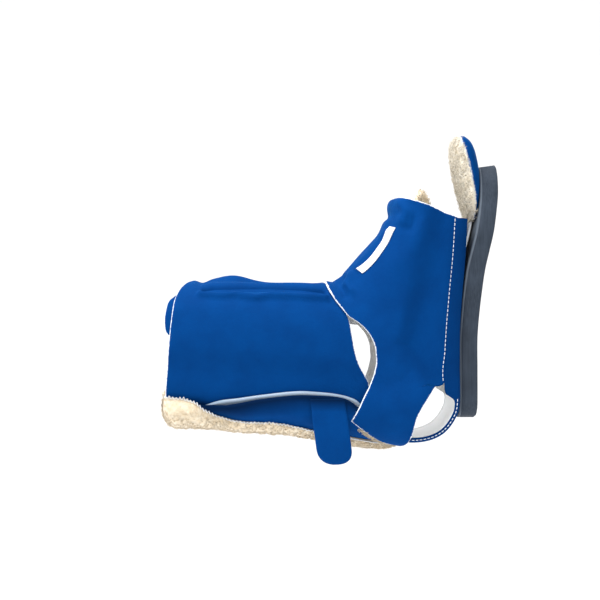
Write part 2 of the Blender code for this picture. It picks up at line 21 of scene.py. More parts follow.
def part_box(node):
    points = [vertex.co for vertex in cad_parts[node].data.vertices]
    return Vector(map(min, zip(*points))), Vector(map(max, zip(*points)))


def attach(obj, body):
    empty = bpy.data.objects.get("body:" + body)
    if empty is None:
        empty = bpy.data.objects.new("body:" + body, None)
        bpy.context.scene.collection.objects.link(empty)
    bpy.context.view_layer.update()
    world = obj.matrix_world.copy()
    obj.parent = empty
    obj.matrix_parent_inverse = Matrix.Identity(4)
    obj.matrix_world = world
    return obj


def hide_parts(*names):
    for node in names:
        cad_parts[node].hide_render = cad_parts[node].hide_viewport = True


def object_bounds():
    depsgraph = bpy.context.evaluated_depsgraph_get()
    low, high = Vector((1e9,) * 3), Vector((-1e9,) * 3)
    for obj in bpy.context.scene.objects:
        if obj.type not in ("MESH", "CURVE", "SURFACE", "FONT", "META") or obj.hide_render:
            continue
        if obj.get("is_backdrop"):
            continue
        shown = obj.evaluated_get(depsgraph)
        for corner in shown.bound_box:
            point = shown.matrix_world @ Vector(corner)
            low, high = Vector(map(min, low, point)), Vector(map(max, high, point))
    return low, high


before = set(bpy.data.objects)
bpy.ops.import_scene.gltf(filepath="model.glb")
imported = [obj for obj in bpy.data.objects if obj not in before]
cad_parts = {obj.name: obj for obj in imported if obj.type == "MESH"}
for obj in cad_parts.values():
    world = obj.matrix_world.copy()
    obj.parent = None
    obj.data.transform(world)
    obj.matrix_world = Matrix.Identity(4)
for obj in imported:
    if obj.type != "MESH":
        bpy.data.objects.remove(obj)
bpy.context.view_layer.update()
mm = 0.001

# %% [markdown]
# ## Camera
# The photograph looks straight at the boot's near side, level, from about 1.3 m. One pixel is
# 1.08 mm at the boot's middle plane. A camera's field of view follows from those two numbers, so
# it is worked out and not tried by eye.

# %% Camera
camera_distance = 1.3
pixel = 1.08 * mm
picture_width = 600
view_centre = (0.1404, 0.0464)

camera = bpy.data.cameras.new("camera")
camera.angle = 2 * math.atan(picture_width / 2 * pixel / camera_distance)
camera_rig = bpy.data.objects.new("camera", camera)
camera_rig.location = (view_centre[0], -camera_distance, view_centre[1])
camera_rig.rotation_euler = (math.radians(90), 0, 0)
bpy.context.scene.collection.objects.link(camera_rig)
bpy.context.scene.camera = camera_rig
bpy.context.scene.view_settings.view_transform = "Standard"
print("field of view:", round(math.degrees(camera.angle), 2), "degrees")

# %% [markdown]
# ## The room inside the boot
# A leg and foot in a boot are one bent tube. Its wall is given by sections, from the calf mouth
# over the heel to the toes. Each section has a back point, a front point and a half width. A
# superellipse joins them: squarer at the back, where the splint is, rounder over the shin and the
# instep. A smooth curve through the table's rows fills in what is between two sections.

# %% Sizes of the room
calf_reach = 0.2624
calf_front = 0.0577
calf_back = 0.0620
calf_half_width = 0.0490
heel_drop = 0.0578
heel_radius = 0.0348
foot_height = 0.1840
foot_depth = 0.1270
foot_half_width = 0.0480
sole_bend = 0.0075
heel_x = calf_reach
heel_z = -heel_drop
sole_x = heel_x + heel_radius

CALF_ROWS = (
    # back   front  drop   rise   width  square
    (-0.080, -0.060, -0.04, 1.00, 1.00, 4.4),
    (0.008, 0.030, 0.00, 1.00, 1.00, 4.4),
    (0.115, 0.120, 0.13, 1.00, 1.01, 4.6),
    (0.267, 0.267, 0.27, 1.00, 1.02, 4.8),
    (0.420, 0.410, 0.40, 1.00, 1.00, 5.0),
    (0.572, 0.545, 0.52, 1.00, 0.98, 5.5),
    (0.715, 0.620, 0.66, 0.98, 0.95, 6.5),
    (0.810, 0.655, 0.80, 0.95, 0.92, 7.5),
    (0.900, 0.680, 0.93, 0.95, 0.89, 8.0),
)
HEEL_ROWS = (
    # angle  ahead  above  width
    (0.0, 0.895, 0.627, 0.900),
    (35.0, 0.856, 0.646, 0.890),
    (65.0, 0.805, 0.678, 0.890),
    (90.0, 0.742, 0.727, 0.900),
)
FOOT_ROWS = (
    # height lean   ahead  above  width
    (0.205, 0.00, 0.663, 0.790, 0.920),
    (0.412, 0.03, 0.578, 0.852, 0.960),
    (0.608, 0.30, 0.500, 0.912, 1.000),
    (0.803, 0.70, 0.450, 0.988, 1.020),
    (1.000, 1.00, 0.398, 1.097, 1.000),
    (1.060, 1.07, 0.360, 1.190, 0.990),
    (1.160, 1.20, 0.330, 1.285, 0.970),
)
foot_square = 8.0
front_square = 2.3
last_row = 19.0
row_step = 0.02

# %% Read a table as a smooth curve
def read_rows(table, at):
    """Values of a table at an array of places. The first column of the table is the place."""
    table = np.asarray(table, dtype=float)
    places, values = table[:, 0], table[:, 1:]
    at = np.clip(np.asarray(at, dtype=float), places[0], places[-1])
    row = np.clip(np.searchsorted(places, at, side="right") - 1, 0, len(places) - 2)
    low = np.maximum(np.arange(len(places)) - 1, 0)
    high = np.minimum(np.arange(len(places)) + 1, len(places) - 1)
    slope = (values[high] - values[low]) / (places[high] - places[low])[:, None]
    span = (places[row + 1] - places[row])[..., None]
    t = (at - places[row])[..., None] / span
    return (values[row] * (2 * t**3 - 3 * t**2 + 1) + values[row + 1] * (3 * t**2 - 2 * t**3)
            + span * (slope[row] * (t**3 - 2 * t**2 + t) + slope[row + 1] * (t**3 - t**2)))


def ramp(x, low, high):
    """0 below low, 1 above high, smooth between."""
    t = np.clip((np.asarray(x, dtype=float) - low) / (high - low), 0.0, 1.0)
    return t * t * (3 - 2 * t)


# %% Sections of the room
def room_sections():
    """Rows of place, back x and z, front x and z, half width and squareness."""
    heel_bottom = heel_drop + heel_radius
    rows = []
    for back, front, drop, rise, width, square in CALF_ROWS:
        depth = calf_back + (heel_bottom - calf_back) * drop
        rows.append((back * calf_reach, -depth, front * calf_reach, rise * calf_front,
                     width * calf_half_width, square))
    for angle, ahead, above, width in HEEL_ROWS:
        turn = math.radians(angle)
        rows.append((heel_x + heel_radius * math.sin(turn), heel_z - heel_radius * math.cos(turn),
                     sole_x - ahead * foot_depth, heel_z + above * foot_height,
                     width * foot_half_width, foot_square))
    for height, lean, ahead, above, width in FOOT_ROWS:
        rows.append((sole_x + lean * sole_bend, heel_z + height * foot_height,
                     sole_x - ahead * foot_depth, heel_z + above * foot_height,
                     width * foot_half_width, foot_square))
    return np.array([(place, *row) for place, row in enumerate(rows)])


SECTIONS = room_sections()
print("sections:", len(SECTIONS))


def room_point(place, turn):
    """The wall of the room. Turn 0 is the back or sole, 90 the near side, 180 the front."""
    place, turn = np.broadcast_arrays(np.asarray(place, float), np.asarray(turn, float))
    row = read_rows(SECTIONS, place)
    back, front, half_width, square = row[..., 0:2], row[..., 2:4], row[..., 4], row[..., 5]
    to_back = (back - front) / 2
    half_depth = np.linalg.norm(to_back, axis=-1)
    along, aside = np.cos(np.radians(turn)), np.sin(np.radians(turn))
    power = np.where(along > 0, square, front_square)
    shares = (np.abs(along) / half_depth) ** power + (np.abs(aside) / half_width) ** power
    reach = shares ** (-1 / power)
    flat = (back + front) / 2 + to_back * (along * reach / half_depth)[..., None]
    return np.stack((flat[..., 0], -aside * reach, flat[..., 1]), axis=-1)


def wall_normal(place, turn):
    """The direction out of the room at a point of its wall."""
    after, before = np.minimum(place + row_step, last_row), np.maximum(place - row_step, 0)
    down = room_point(after, turn) - room_point(before, turn)
    around = room_point(place, turn + 1.0) - room_point(place, turn - 1.0)
    normal = np.cross(down, around)
    return normal / np.linalg.norm(normal, axis=-1, keepdims=True)


def wall_point(place, turn, lift=0.0):
    """A point of the wall, moved out of the room by lift."""
    place, turn, lift = np.broadcast_arrays(*(np.asarray(v, float) for v in (place, turn, lift)))
    return room_point(place, turn) + wall_normal(place, turn) * lift[..., None]


# %% [markdown]
# ## Layers
# What lies on what, from the skin outwards. Thicknesses and gaps are the CAD model's own. A cloth
# that lies on another is lifted by the other's thickness and a little air.

# %% Layer sizes
wrap_thickness = 3.0 * mm
shell_thickness = 2.8 * mm
sleeve_thickness = 2.2 * mm
cover_thickness = 3.0 * mm
liner_thickness = 5.0 * mm
forefoot_thickness = 4.5 * mm
layer_gap = 1.2 * mm
lining_gap = 0.8 * mm
seat_gap = 0.4 * mm
trough_gap = 2.0 * mm
pad_gap = 2.7 * mm
strap_room = 5.0 * mm
sleeve_corner = 1.6 * mm
band_waist = 5.0 * mm
heel_lip = 5.4 * mm
sole_lip = 17.0 * mm

second_layer = wrap_thickness + layer_gap
third_layer = 2 * second_layer
shell_start = wrap_thickness + trough_gap
shell_outer = shell_start + shell_thickness
sleeve_start = shell_outer + seat_gap
sleeve_outer = sleeve_start + sleeve_thickness
cover_start = shell_outer + trough_gap
cover_outer = cover_start + cover_thickness
outsole_face_x = sole_x + sleeve_outer + seat_gap

# %% [markdown]
# ## Materials
# Everything is procedural. Positions are read in metres (Object coordinates), so a scale of 1500
# gives grains of about two thirds of a millimetre, the size of the loops of a brushed laminate.
# A helper adds a node and sets its inputs, which keeps each material short enough to read.

# %% Material helper
def start_material(name, roughness):
    material = bpy.data.materials.new(name)
    material.use_nodes = True
    shader = material.node_tree.nodes["Principled BSDF"]
    shader.inputs["Roughness"].default_value = roughness
    return material, shader


def add_node(material, kind, links=None, **settings):
    """Add a node. links maps an input's name or number to the output that feeds it, and settings
    are the node's own settings or the values of its inputs."""
    node = material.node_tree.nodes.new(kind)
    for key, value in settings.items():
        if hasattr(node, key):
            setattr(node, key, value)
        else:
            node.inputs[key.replace("_", " ").title()].default_value = value
    for key, output in (links or {}).items():
        material.node_tree.links.new(output, node.inputs[key])
    return node


def metre_noise(material, scale, detail=2.0, stretch=(1.0, 1.0, 1.0), roughness=0.5):
    """Noise in metres, drawn out along the axes where stretch is below 1."""
    place = add_node(material, "ShaderNodeTexCoord")
    mapping = add_node(material, "ShaderNodeMapping", {"Vector": place.outputs["Object"]})
    mapping.inputs["Scale"].default_value = stretch
    grain = add_node(material, "ShaderNodeTexNoise", {"Vector": mapping.outputs["Vector"]},
                     scale=scale, detail=detail, roughness=roughness)
    return grain.outputs["Fac"]


def blend_colors(material, factor, first, second):
    """Mix two colours, or two colour outputs, by a factor."""
    mix = add_node(material, "ShaderNodeMix", data_type="RGBA")
    material.node_tree.links.new(factor, mix.inputs["Factor"])
    for socket, color in (("A", first), ("B", second)):
        target = next(s for s in mix.inputs if s.name == socket and s.type == "RGBA")
        if isinstance(color, tuple):
            target.default_value = (*color, 1.0)
        else:
            material.node_tree.links.new(color, target)
    return next(s for s in mix.outputs if s.type == "RGBA")


def spread(material, value, low, high, to_low=0.0, to_high=1.0):
    """Stretch a part of a value's range to a new range, and clamp it."""
    remap = add_node(material, "ShaderNodeMapRange", {"Value": value})
    for key, number in (("From Min", low), ("From Max", high), ("To Min", to_low), ("To Max", to_high)):
        remap.inputs[key].default_value = number
    return remap.outputs["Result"]


def add_bump(material, shader, *layers):
    """Bump from layers of (height output, depth in metres), the last one on top."""
    normal = None
    for height, depth in layers:
        bump = add_node(material, "ShaderNodeBump", {"Height": height}, distance=depth, strength=1.0)
        if normal is not None:
            material.node_tree.links.new(normal, bump.inputs["Normal"])
        normal = bump.outputs["Normal"]
    material.node_tree.links.new(normal, shader.inputs["Normal"])


# %% [markdown]
# ### Blue laminate
# Brushed nylon loops on thin foam. Its colour moves a little where the nap lies another way, it
# has a soft sheen at grazing angles, and where it is cut the white foam and knit backing show as
# a thin line with a fuzzy border, less than a millimetre wide on the face and wider on the cut
# itself. The line needs to know how far a point is from the cut. That distance is stored on the
# mesh as an attribute, in millimetres, and the shader turns it white where the distance,
# roughened by noise, is small.

# %% Blue laminate
laminate_deep = (0.0, 0.039, 0.178)
laminate_lit = (0.0, 0.046, 0.204)
loop_shadow = (0.0, 0.016, 0.090)
painted_recess_shade = (0.0, 0.009, 0.040)
foam_white = (0.80, 0.84, 0.90)
cut_width, cut_blur, cut_fray = 0.75, 0.12, 0.45


def laminate_material(name, depth=1.0, recess_shade_range=None):
    """depth scales the cloth's colours; below 1 it is painted shade, for a side that turns away from the
    light. The last argument is for cloth that is tucked in at its rim: a range of distances to the rim,
    in mm, over which painted shade, dark as in a deep hollow, turns into plain cloth. It then shows no
    white cut."""
    deep = tuple(depth * c for c in laminate_deep)
    lit = tuple(depth * c for c in laminate_lit)
    material, shader = start_material(name, 0.82)
    nap = metre_noise(material, 34.0, detail=3.0)
    loops = metre_noise(material, 1700.0, detail=2.0)
    cloth = blend_colors(material, spread(material, nap, 0.35, 0.65), deep, lit)
    cloth = blend_colors(material, spread(material, loops, 0.30, 0.75, 0.0, 0.22), cloth, loop_shadow)
    cut = add_node(material, "ShaderNodeAttribute", attribute_name="cut_mm").outputs["Fac"]
    # Painted shade: near its rim the cloth is painted dark, for the deep shade where it tucks in.
    if recess_shade_range:
        color = blend_colors(material, spread(material, cut, *recess_shade_range), painted_recess_shade, cloth)
    else:
        fray = spread(material, metre_noise(material, 900.0, detail=1.0), 0.3, 0.7, -cut_fray, cut_fray)
        ragged = add_node(material, "ShaderNodeMath", {0: cut, 1: fray}, operation="ADD").outputs[0]
        is_cloth = spread(material, ragged, cut_width - cut_blur, cut_width + cut_blur)
        color = blend_colors(material, is_cloth, foam_white, cloth)
    material.node_tree.links.new(color, shader.inputs["Base Color"])
    shader.inputs["Specular IOR Level"].default_value = 0.04
    shader.inputs["Sheen Weight"].default_value = 0.22
    shader.inputs["Sheen Roughness"].default_value = 0.30
    shader.inputs["Sheen Tint"].default_value = (0.0, 0.36, 1.0, 1.0)
    add_bump(material, shader, (loops, 0.25 * mm), (metre_noise(material, 260.0), 0.35 * mm))
    return material


laminate = laminate_material("blue_laminate")
# The sleeve's laminate is darker: painted shade for its side, which turns away from the light.
sleeve_laminate = laminate_material("blue_sleeve_laminate_painted_shade", depth=0.72)
pad_laminate = laminate_material("blue_pad_laminate_painted_shade", recess_shade_range=(2.0, 14.0))
strap_laminate = laminate_material("blue_strap_laminate_painted_shade", recess_shade_range=(1.0, 13.0))

# %% [markdown]
# ### Fleece, lining and thread
# Sherpa fleece is matted curls, cream with warmer and paler tufts. The laminate's inside is a
# short white knit. Thread is plain bluish white.

# %% Fleece, lining and thread
def fleece_material(name, shade, pale, warm):
    """Tufts of two tones, with a darker shade between the fibres."""
    material, shader = start_material(name, 0.95)
    tufts = metre_noise(material, 170.0, detail=3.0)
    fibres = metre_noise(material, 1300.0, detail=3.0, roughness=0.7)
    wool = blend_colors(material, spread(material, tufts, 0.35, 0.65), warm, pale)
    wool = blend_colors(material, spread(material, fibres, 0.25, 0.5), shade, wool)
    material.node_tree.links.new(wool, shader.inputs["Base Color"])
    shader.inputs["Sheen Weight"].default_value = 0.4
    add_bump(material, shader, (tufts, 1.6 * mm), (fibres, 0.6 * mm))
    return material


fleece = fleece_material("cream_fleece", (0.50, 0.39, 0.24), (0.78, 0.69, 0.54), (0.70, 0.57, 0.39))
# The toe pad's fleece is a lighter copy: its pile is a little whiter, and the rest is painted light that
# makes up for the shade its curls cast on each other.
toe_fleece_pale_and_painted_light = fleece_material("pale_fleece_and_painted_light", (0.66, 0.56, 0.41), (0.93, 0.88, 0.77), (0.88, 0.79, 0.63))
lining = fleece_material("white_lining", (0.60, 0.60, 0.60), (0.88, 0.88, 0.87), (0.78, 0.77, 0.74))

thread, thread_shader = start_material("white_thread", 0.7)
twist = metre_noise(thread, 2500.0)
thread.node_tree.links.new(blend_colors(thread, twist, (0.70, 0.74, 0.80), (0.90, 0.92, 0.95)),
                           thread_shader.inputs["Base Color"])

# %% [markdown]
# ### Plastic, rubber, metal, webbing and the patch
# The splint is milky plastic with a satin face. Near the rolled rim of its trough it turns
# grey-blue: painted shade, tinted by painted blue light thrown back from the cloth. The sole is
# dense grey-blue rubber, extruded, so its marks run along its length. The bar is brushed
# aluminium. The patch on the instep is a woven tape, left bare.

# %% Hard and woven materials
plastic, shader = start_material("white_plastic", 0.32)
milky = metre_noise(plastic, 22.0)
face = blend_colors(plastic, milky, (0.90, 0.93, 0.95), (0.96, 0.97, 0.98))
# Painted shade: up to 4 mm from the trough's rim the plastic is grey-blue, with painted blue light from
# the cloth, and it fades to its own white by 9 mm.
to_edge = add_node(plastic, "ShaderNodeAttribute", attribute_name="cut_mm").outputs["Fac"]
shaded = blend_colors(plastic, spread(plastic, to_edge, 4.0, 9.0), (0.27, 0.345, 0.44), face)
plastic.node_tree.links.new(shaded, shader.inputs["Base Color"])
shader.inputs["Subsurface Weight"].default_value = 0.08
shader.inputs["Subsurface Scale"].default_value = 2 * mm
add_bump(plastic, shader, (metre_noise(plastic, 300.0), 0.05 * mm))

rubber, shader = start_material("slate_rubber", 0.70)
shader.inputs["Specular IOR Level"].default_value = 0.25
streaks = metre_noise(rubber, 900.0, detail=3.0, stretch=(1.0, 1.0, 0.02))
mottle = metre_noise(rubber, 60.0, detail=4.0)
rubber_dark, rubber_mid, rubber_pale = (0.018, 0.027, 0.041), (0.029, 0.041, 0.061), (0.046, 0.062, 0.088)
stone = blend_colors(rubber, spread(rubber, mottle, 0.3, 0.7), rubber_dark, rubber_mid)
stone = blend_colors(rubber, spread(rubber, streaks, 0.35, 0.72, 0.0, 0.55), stone, rubber_pale)
rubber.node_tree.links.new(stone, shader.inputs["Base Color"])
add_bump(rubber, shader, (streaks, 0.25 * mm), (metre_noise(rubber, 700.0), 0.08 * mm))

aluminium, shader = start_material("aluminium_bar", 0.34)
shader.inputs["Metallic"].default_value = 1.0
brushed = metre_noise(aluminium, 2400.0, detail=2.0, stretch=(1.0, 1.0, 0.02))
aluminium.node_tree.links.new(blend_colors(aluminium, brushed, (0.62, 0.64, 0.67), (0.82, 0.84, 0.86)),
                              shader.inputs["Base Color"])
add_bump(aluminium, shader, (brushed, 0.03 * mm))


def woven_material(name, dark, light, pitch, roughness):
    """A plain weave: two crossed waves make the over and under of its threads."""
    material, shader = start_material(name, roughness)
    place = add_node(material, "ShaderNodeTexCoord")
    waves = []
    for direction in ("Y", "Z"):
        wave = add_node(material, "ShaderNodeTexWave", {"Vector": place.outputs["Object"]},
                        bands_direction=direction, scale=1 / (20 * pitch) * 2 * math.pi, distortion=0.4)
        waves.append(wave.outputs["Fac"])
    cross = add_node(material, "ShaderNodeMath", dict(enumerate(waves)), operation="MULTIPLY").outputs[0]
    material.node_tree.links.new(blend_colors(material, cross, dark, light), shader.inputs["Base Color"])
    add_bump(material, shader, (cross, 0.2 * mm))
    return material


webbing = woven_material("black_webbing", (0.006, 0.006, 0.007), (0.035, 0.036, 0.040), 1.6 * mm, 0.75)
patch_tape = woven_material("white_patch", (0.74, 0.75, 0.78), (0.90, 0.91, 0.92), 0.9 * mm, 0.6)
print("materials:", len(bpy.data.materials))

# %% [markdown]
# ## Mesh helpers
# A cloth piece is two grids of points, its outer and its inner face, closed round the rim. The
# helper works out by itself which way the faces have to turn. Threads and fibres are thin tubes
# along short paths, all of one piece in one mesh.

# %% Mesh helpers
far_from_cut = 99.0


def place_mesh(name, points, faces, materials, body="root"):
    """A smooth shaded piece that rides a body of the part."""
    mesh = bpy.data.meshes.new(name)
    mesh.from_pydata(np.asarray(points).reshape(-1, 3).tolist(), [], faces)
    for material in materials:
        mesh.materials.append(material)
    mesh.shade_smooth()
    piece = bpy.data.objects.new(name, mesh)
    bpy.context.scene.collection.objects.link(piece)
    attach(piece, body)
    return piece


def mark_cut(piece, distances):
    """Store every point's distance to a cut, in mm, where the materials can read it."""
    mark = piece.data.attributes.new("cut_mm", "FLOAT", "POINT")
    mark.data.foreach_set("value", distances.astype(np.float32))


def closed_sheet(name, outer, inner, cut, materials):
    """A closed piece between two grids. cut is each outer point's distance to a cut, in mm. The first
    material is for the outer face and the rim, the last one for the inner face."""
    down, across = outer.shape[:2]
    grid = np.arange(down * across).reshape(down, across)
    quads = np.stack((grid[:-1, :-1], grid[:-1, 1:], grid[1:, 1:], grid[1:, :-1]), axis=-1)
    quads = quads.reshape(-1, 4)
    middle = (down // 2, across // 2)
    a, b, d = outer[middle], outer[middle[0], middle[1] + 1], outer[middle[0] + 1, middle[1]]
    if np.dot(np.cross(b - a, d - a), outer[middle] - inner[middle]) < 0:
        quads = quads[:, ::-1]
    shift = down * across
    back = quads[:, ::-1] + shift
    loop = np.concatenate((grid[0, :-1], grid[:-1, -1], grid[-1, :0:-1], grid[:0:-1, 0]))
    ahead = np.roll(loop, -1)
    rim = np.stack((loop, loop + shift, ahead + shift, ahead), axis=-1)
    edges = np.stack((quads, np.roll(quads, -1, axis=1)), axis=-1).reshape(-1, 2)
    if (int(loop[0]), int(ahead[0])) not in set(map(tuple, edges.tolist())):
        rim = np.roll(rim[:, ::-1], 1, axis=1)
    faces = np.concatenate((quads, back, rim)).tolist()
    piece = place_mesh(name, np.concatenate((outer.reshape(-1, 3), inner.reshape(-1, 3))), faces,
                       materials)
    numbers = np.zeros(len(faces), dtype=int)
    numbers[len(quads):len(quads) + len(back)] = len(materials) - 1
    piece.data.polygons.foreach_set("material_index", numbers)
    mark_cut(piece, np.concatenate((cut.ravel(), cut.ravel())))
    return piece


def tubes(name, paths, radii, sides, material):
    """Thin tubes. paths is an array of tubes, points and xyz; radii is one number for each point."""
    paths = np.asarray(paths, dtype=float)
    count, steps = paths.shape[:2]
    along = np.gradient(paths, axis=1)
    along /= np.linalg.norm(along, axis=-1, keepdims=True) + 1e-12
    side = np.cross(along, np.array((0.31, 0.83, 0.47)))
    side /= np.linalg.norm(side, axis=-1, keepdims=True) + 1e-12
    other = np.cross(along, side)
    angle = 2 * np.pi * np.arange(sides) / sides
    ring = (side[:, :, None] * np.cos(angle)[None, None, :, None]
            + other[:, :, None] * np.sin(angle)[None, None, :, None])
    points = paths[:, :, None] + ring * np.asarray(radii, dtype=float)[..., :, None, None]
    base = (np.arange(count) * steps * sides)[:, None, None]
    rows = base + (np.arange(steps - 1) * sides)[None, :, None]
    low, turned = rows + np.arange(sides), rows + (np.arange(sides) + 1) % sides
    walls = np.stack((low, turned, turned + sides, low + sides), axis=-1).reshape(-1, 4).tolist()
    caps = (base[:, :, 0] + np.arange(sides)[::-1]).tolist()
    caps += (base[:, :, 0] + (steps - 1) * sides + np.arange(sides)).tolist()
    return place_mesh(name, points, walls + caps, [material])


def grain_at(points, size, seed=0.0):
    """Smooth noise from -1 to 1 at an array of points, with features of that size."""
    flat = points.reshape(-1, 3) / size + seed
    return np.array([noise.noise(Vector(p)) for p in flat]).reshape(points.shape[:-1])


# %% [markdown]
# ## Folds
# Foam laminate does not crumple, it rolls into a few smooth ridges where a flap is pulled over the
# shin or the toes. Each ridge is a line seen from the side, with a height and a width. A point of
# the cloth is lifted by its distance to that line, and only on the line's side of the boot. The
# broad swells are set by place and turn instead, so that both flaps of an overlap share them.

# %% Folds
def seen_at(x_pixel, y_pixel, depth=0.0):
    """The point at that pixel, for a thing that lies depth behind the middle plane."""
    scale = pixel * (camera_distance + depth) / camera_distance
    return (view_centre[0] + (x_pixel - picture_width / 2) * scale,
            view_centre[1] - (y_pixel - picture_width / 2) * scale)


def line_distance(points, line):
    """Distance from points to a broken line, both seen from the side."""
    flat = points[..., [0, 2]]
    best = np.full(flat.shape[:-1], np.inf)
    for start, end in zip(line, line[1:]):
        start, end = np.array(start), np.array(end)
        run = end - start
        t = np.clip(((flat - start) @ run) / (run @ run), 0, 1)
        best = np.minimum(best, np.linalg.norm(flat - start - t[..., None] * run, axis=-1))
    return best


def fold_lift(points, folds):
    """The lift from ridges (height above 0) and creases (height below 0)."""
    lift = np.zeros(points.shape[:-1])
    for height, width, depth, *pixels in folds:
        line = [seen_at(x, y, depth) for x, y in pixels]
        on_side = ramp(-points[..., 1] * math.copysign(1, -depth), -18 * mm, -2 * mm)
        lift += height * mm * np.exp(-(line_distance(points, line) / (width * mm)) ** 2) * on_side
    return lift


# height and half width in mm, depth of the line in metres, then the line in pixels
CALF_FOLDS = (
    (-8.0, 2.7, -0.02, (206, 290), (215, 288.6), (240, 287.8), (270, 287.8), (300, 289.2), (323, 292)),
    (4.6, 2.6, -0.03, (200, 294.5), (217, 296), (236, 295), (256, 297.5), (271, 295.5), (300, 296.5),
     (326, 297.5)),
    (0.9, 9.0, -0.04, (178, 308), (200, 305), (240, 309)),
    (0.8, 12.0, -0.05, (330, 320), (344, 350), (350, 372)),
)
INSTEP_FOLDS = (
    (3.4, 4.5, -0.03, (400, 204), (405, 213), (401, 222)),
    (-3.4, 3.6, -0.03, (410, 204), (414, 216), (406, 230)),
    (2.6, 4.0, -0.03, (388, 232), (376, 247), (358, 268)),
    (3.0, 3.2, -0.03, (352, 274), (346, 283), (352, 291)),
    (-2.6, 2.8, -0.03, (344, 277), (339, 284), (345, 296)),
    (1.2, 9.0, -0.045, (430, 212), (420, 240), (400, 262)),
    (1.0, 12.0, -0.05, (384, 330), (398, 352), (396, 384)),
)


# %% Swell of the calf wraps over the far side of the shin
swell_place, swell_turn = 2.92, 202.0
swell_height, swell_rows, swell_spread = 10.8 * mm, 0.68, 20.0


def hump(value, middle, half_width):
    """1 at the middle, fading to 0 on both sides."""
    return np.exp(-((value - middle) / half_width) ** 2)


def calf_swell(place, turn):
    """How both calf flaps rise and dip together over the shin: the far bulge, the far ridge, the
    dip between the two ridges, and the notch beside the rounded corner."""
    bulge = swell_height * hump(place, swell_place, swell_rows) * hump(turn, swell_turn, swell_spread)
    ridge = 2.6 * mm * hump(turn, 203.0, 13.0) * ramp(place, 3.2, 4.6) * (1 - ramp(place, 6.6, 7.6))
    dip = -6.0 * mm * hump(turn, 183.0, 8.0) * ramp(place, 1.8, 2.6) * (1 - ramp(place, 5.2, 6.2))
    notch = -2.8 * mm * hump(place, 2.1, 0.17) * hump(turn, 182.0, 26.0)
    crown = 2.9 * mm * hump(turn, 192.0, 26.0) * (1 - ramp(place, 5.6, 7.2))
    return bulge + ridge + dip + notch + crown


def toe_crease(place, turn):
    """The crease across the instep just under the toe edge, which makes the edge roll outwards."""
    across = hump(turn, 180.0, 42.0)
    return (1.2 * mm * hump(place, 17.1, 0.30) - 4.4 * mm * hump(place, 16.5, 0.24)) * across


# %% [markdown]
# ## The wraps
# Four flat panels, cut from laminate and bent round the leg. A table gives each panel's cut edge:
# every row runs across the panel, from one edge's place and turn to the other's, and None is for
# an end that is sewn to the sleeve. Close to a cut the rows and columns of the mesh are dense, and
# there the panel thins and rounds, so the white core shows.

# %% Tables of the wraps
CALF_NEAR = (
    (0.90, 24.0, 5.20, 24.0), (0.90, 42.0, 7.35, 46.0), (0.93, 60.0, 7.75, 61.0),
    (0.96, 82.0, 7.51, 83.0), (0.99, 104.0, 7.50, 102.0), (1.03, 125.0, 7.73, 124.0),
    (1.09, 142.0, 8.02, 142.0), (1.25, 155.0, 7.60, 153.0), (1.49, 168.0, 7.00, 166.0),
    (1.74, 182.0, 6.20, 182.0), (1.80, 205.0, 6.00, 205.0), (1.60, 232.0, 5.90, 232.0),
)
CALF_FAR = (
    (1.00, 102.0, 5.00, 102.0), (0.80, 107.0, 5.20, 107.0), (0.70, 118.0, 5.30, 118.0),
    (0.71, 131.0, 5.60, 131.0), (0.79, 142.0, 5.90, 144.0), (1.08, 151.0, 6.20, 156.0),
    (1.55, 165.0, 6.50, 168.0), (1.70, 184.0, 6.80, 184.0), (1.55, 204.0, 7.20, 202.0),
    (1.20, 222.0, 8.00, 218.0), (1.00, 242.0, 7.73, 236.0), (0.96, 264.0, 7.50, 258.0),
    (0.93, 288.0, 7.51, 277.0), (0.90, 306.0, 7.75, 299.0), (0.90, 320.0, 7.35, 314.0),
    (0.90, 336.0, 5.20, 336.0),
)
FOOT_NEAR = (
    (6.29, 35.3, 8.40, 20.0), (6.80, 43.0, 9.16, 30.6), (7.25, 51.0, 9.87, 35.0),
    (7.60, 57.0, 10.90, 37.2), (7.90, 63.5, 11.95, 35.5), (8.05, 67.3, 12.29, None),
    (8.20, 71.0, 12.90, None), (8.47, 80.0, 14.10, None), (8.75, 90.0, 15.20, None),
    (8.96, 100.5, 16.10, None), (9.15, 108.5, 17.37, None), (9.27, 117.0, 17.46, 72.0),
    (9.25, 128.5, 17.56, 92.0), (8.80, 138.5, 17.60, 111.0), (7.91, 143.1, 17.55, 127.0),
    (7.12, 150.4, 17.45, 145.0), (6.40, 160.5, 17.40, 162.0), (6.25, 180.0, 17.35, 180.0),
    (6.45, 205.0, 17.20, 205.0), (6.90, 226.0, 17.00, 226.0),
)
STRAP_AND_SEAM = FOOT_NEAR[:11]
FOOT_FAR = tuple(
    (place, 360 - turn, end_place, None if end_turn is None else 360 - end_turn)
    for place, turn, end_place, end_turn in STRAP_AND_SEAM
) + (
    (9.27, 243.0, 17.70, 286.0), (9.25, 231.5, 18.35, 268.0), (8.80, 221.5, 18.10, 252.0),
    (7.91, 214.9, 17.85, 236.0), (7.20, 208.0, 17.55, 219.0), (6.60, 199.0, 17.40, 199.0),
    (6.50, 185.0, 17.30, 180.0), (7.20, 172.0, 17.20, 164.0), (8.60, 168.0, 17.10, 152.0),
)
LIP_REACH = ((8.40, 0.0), (11.70, 0.0), (11.92, 0.03), (12.04, 0.18), (12.12, 0.50), (12.20, 0.86),
             (12.50, 1.0), (13.20, 0.84), (14.50, 0.74), (17.00, 0.70))
seam_gap = 0.1 * mm


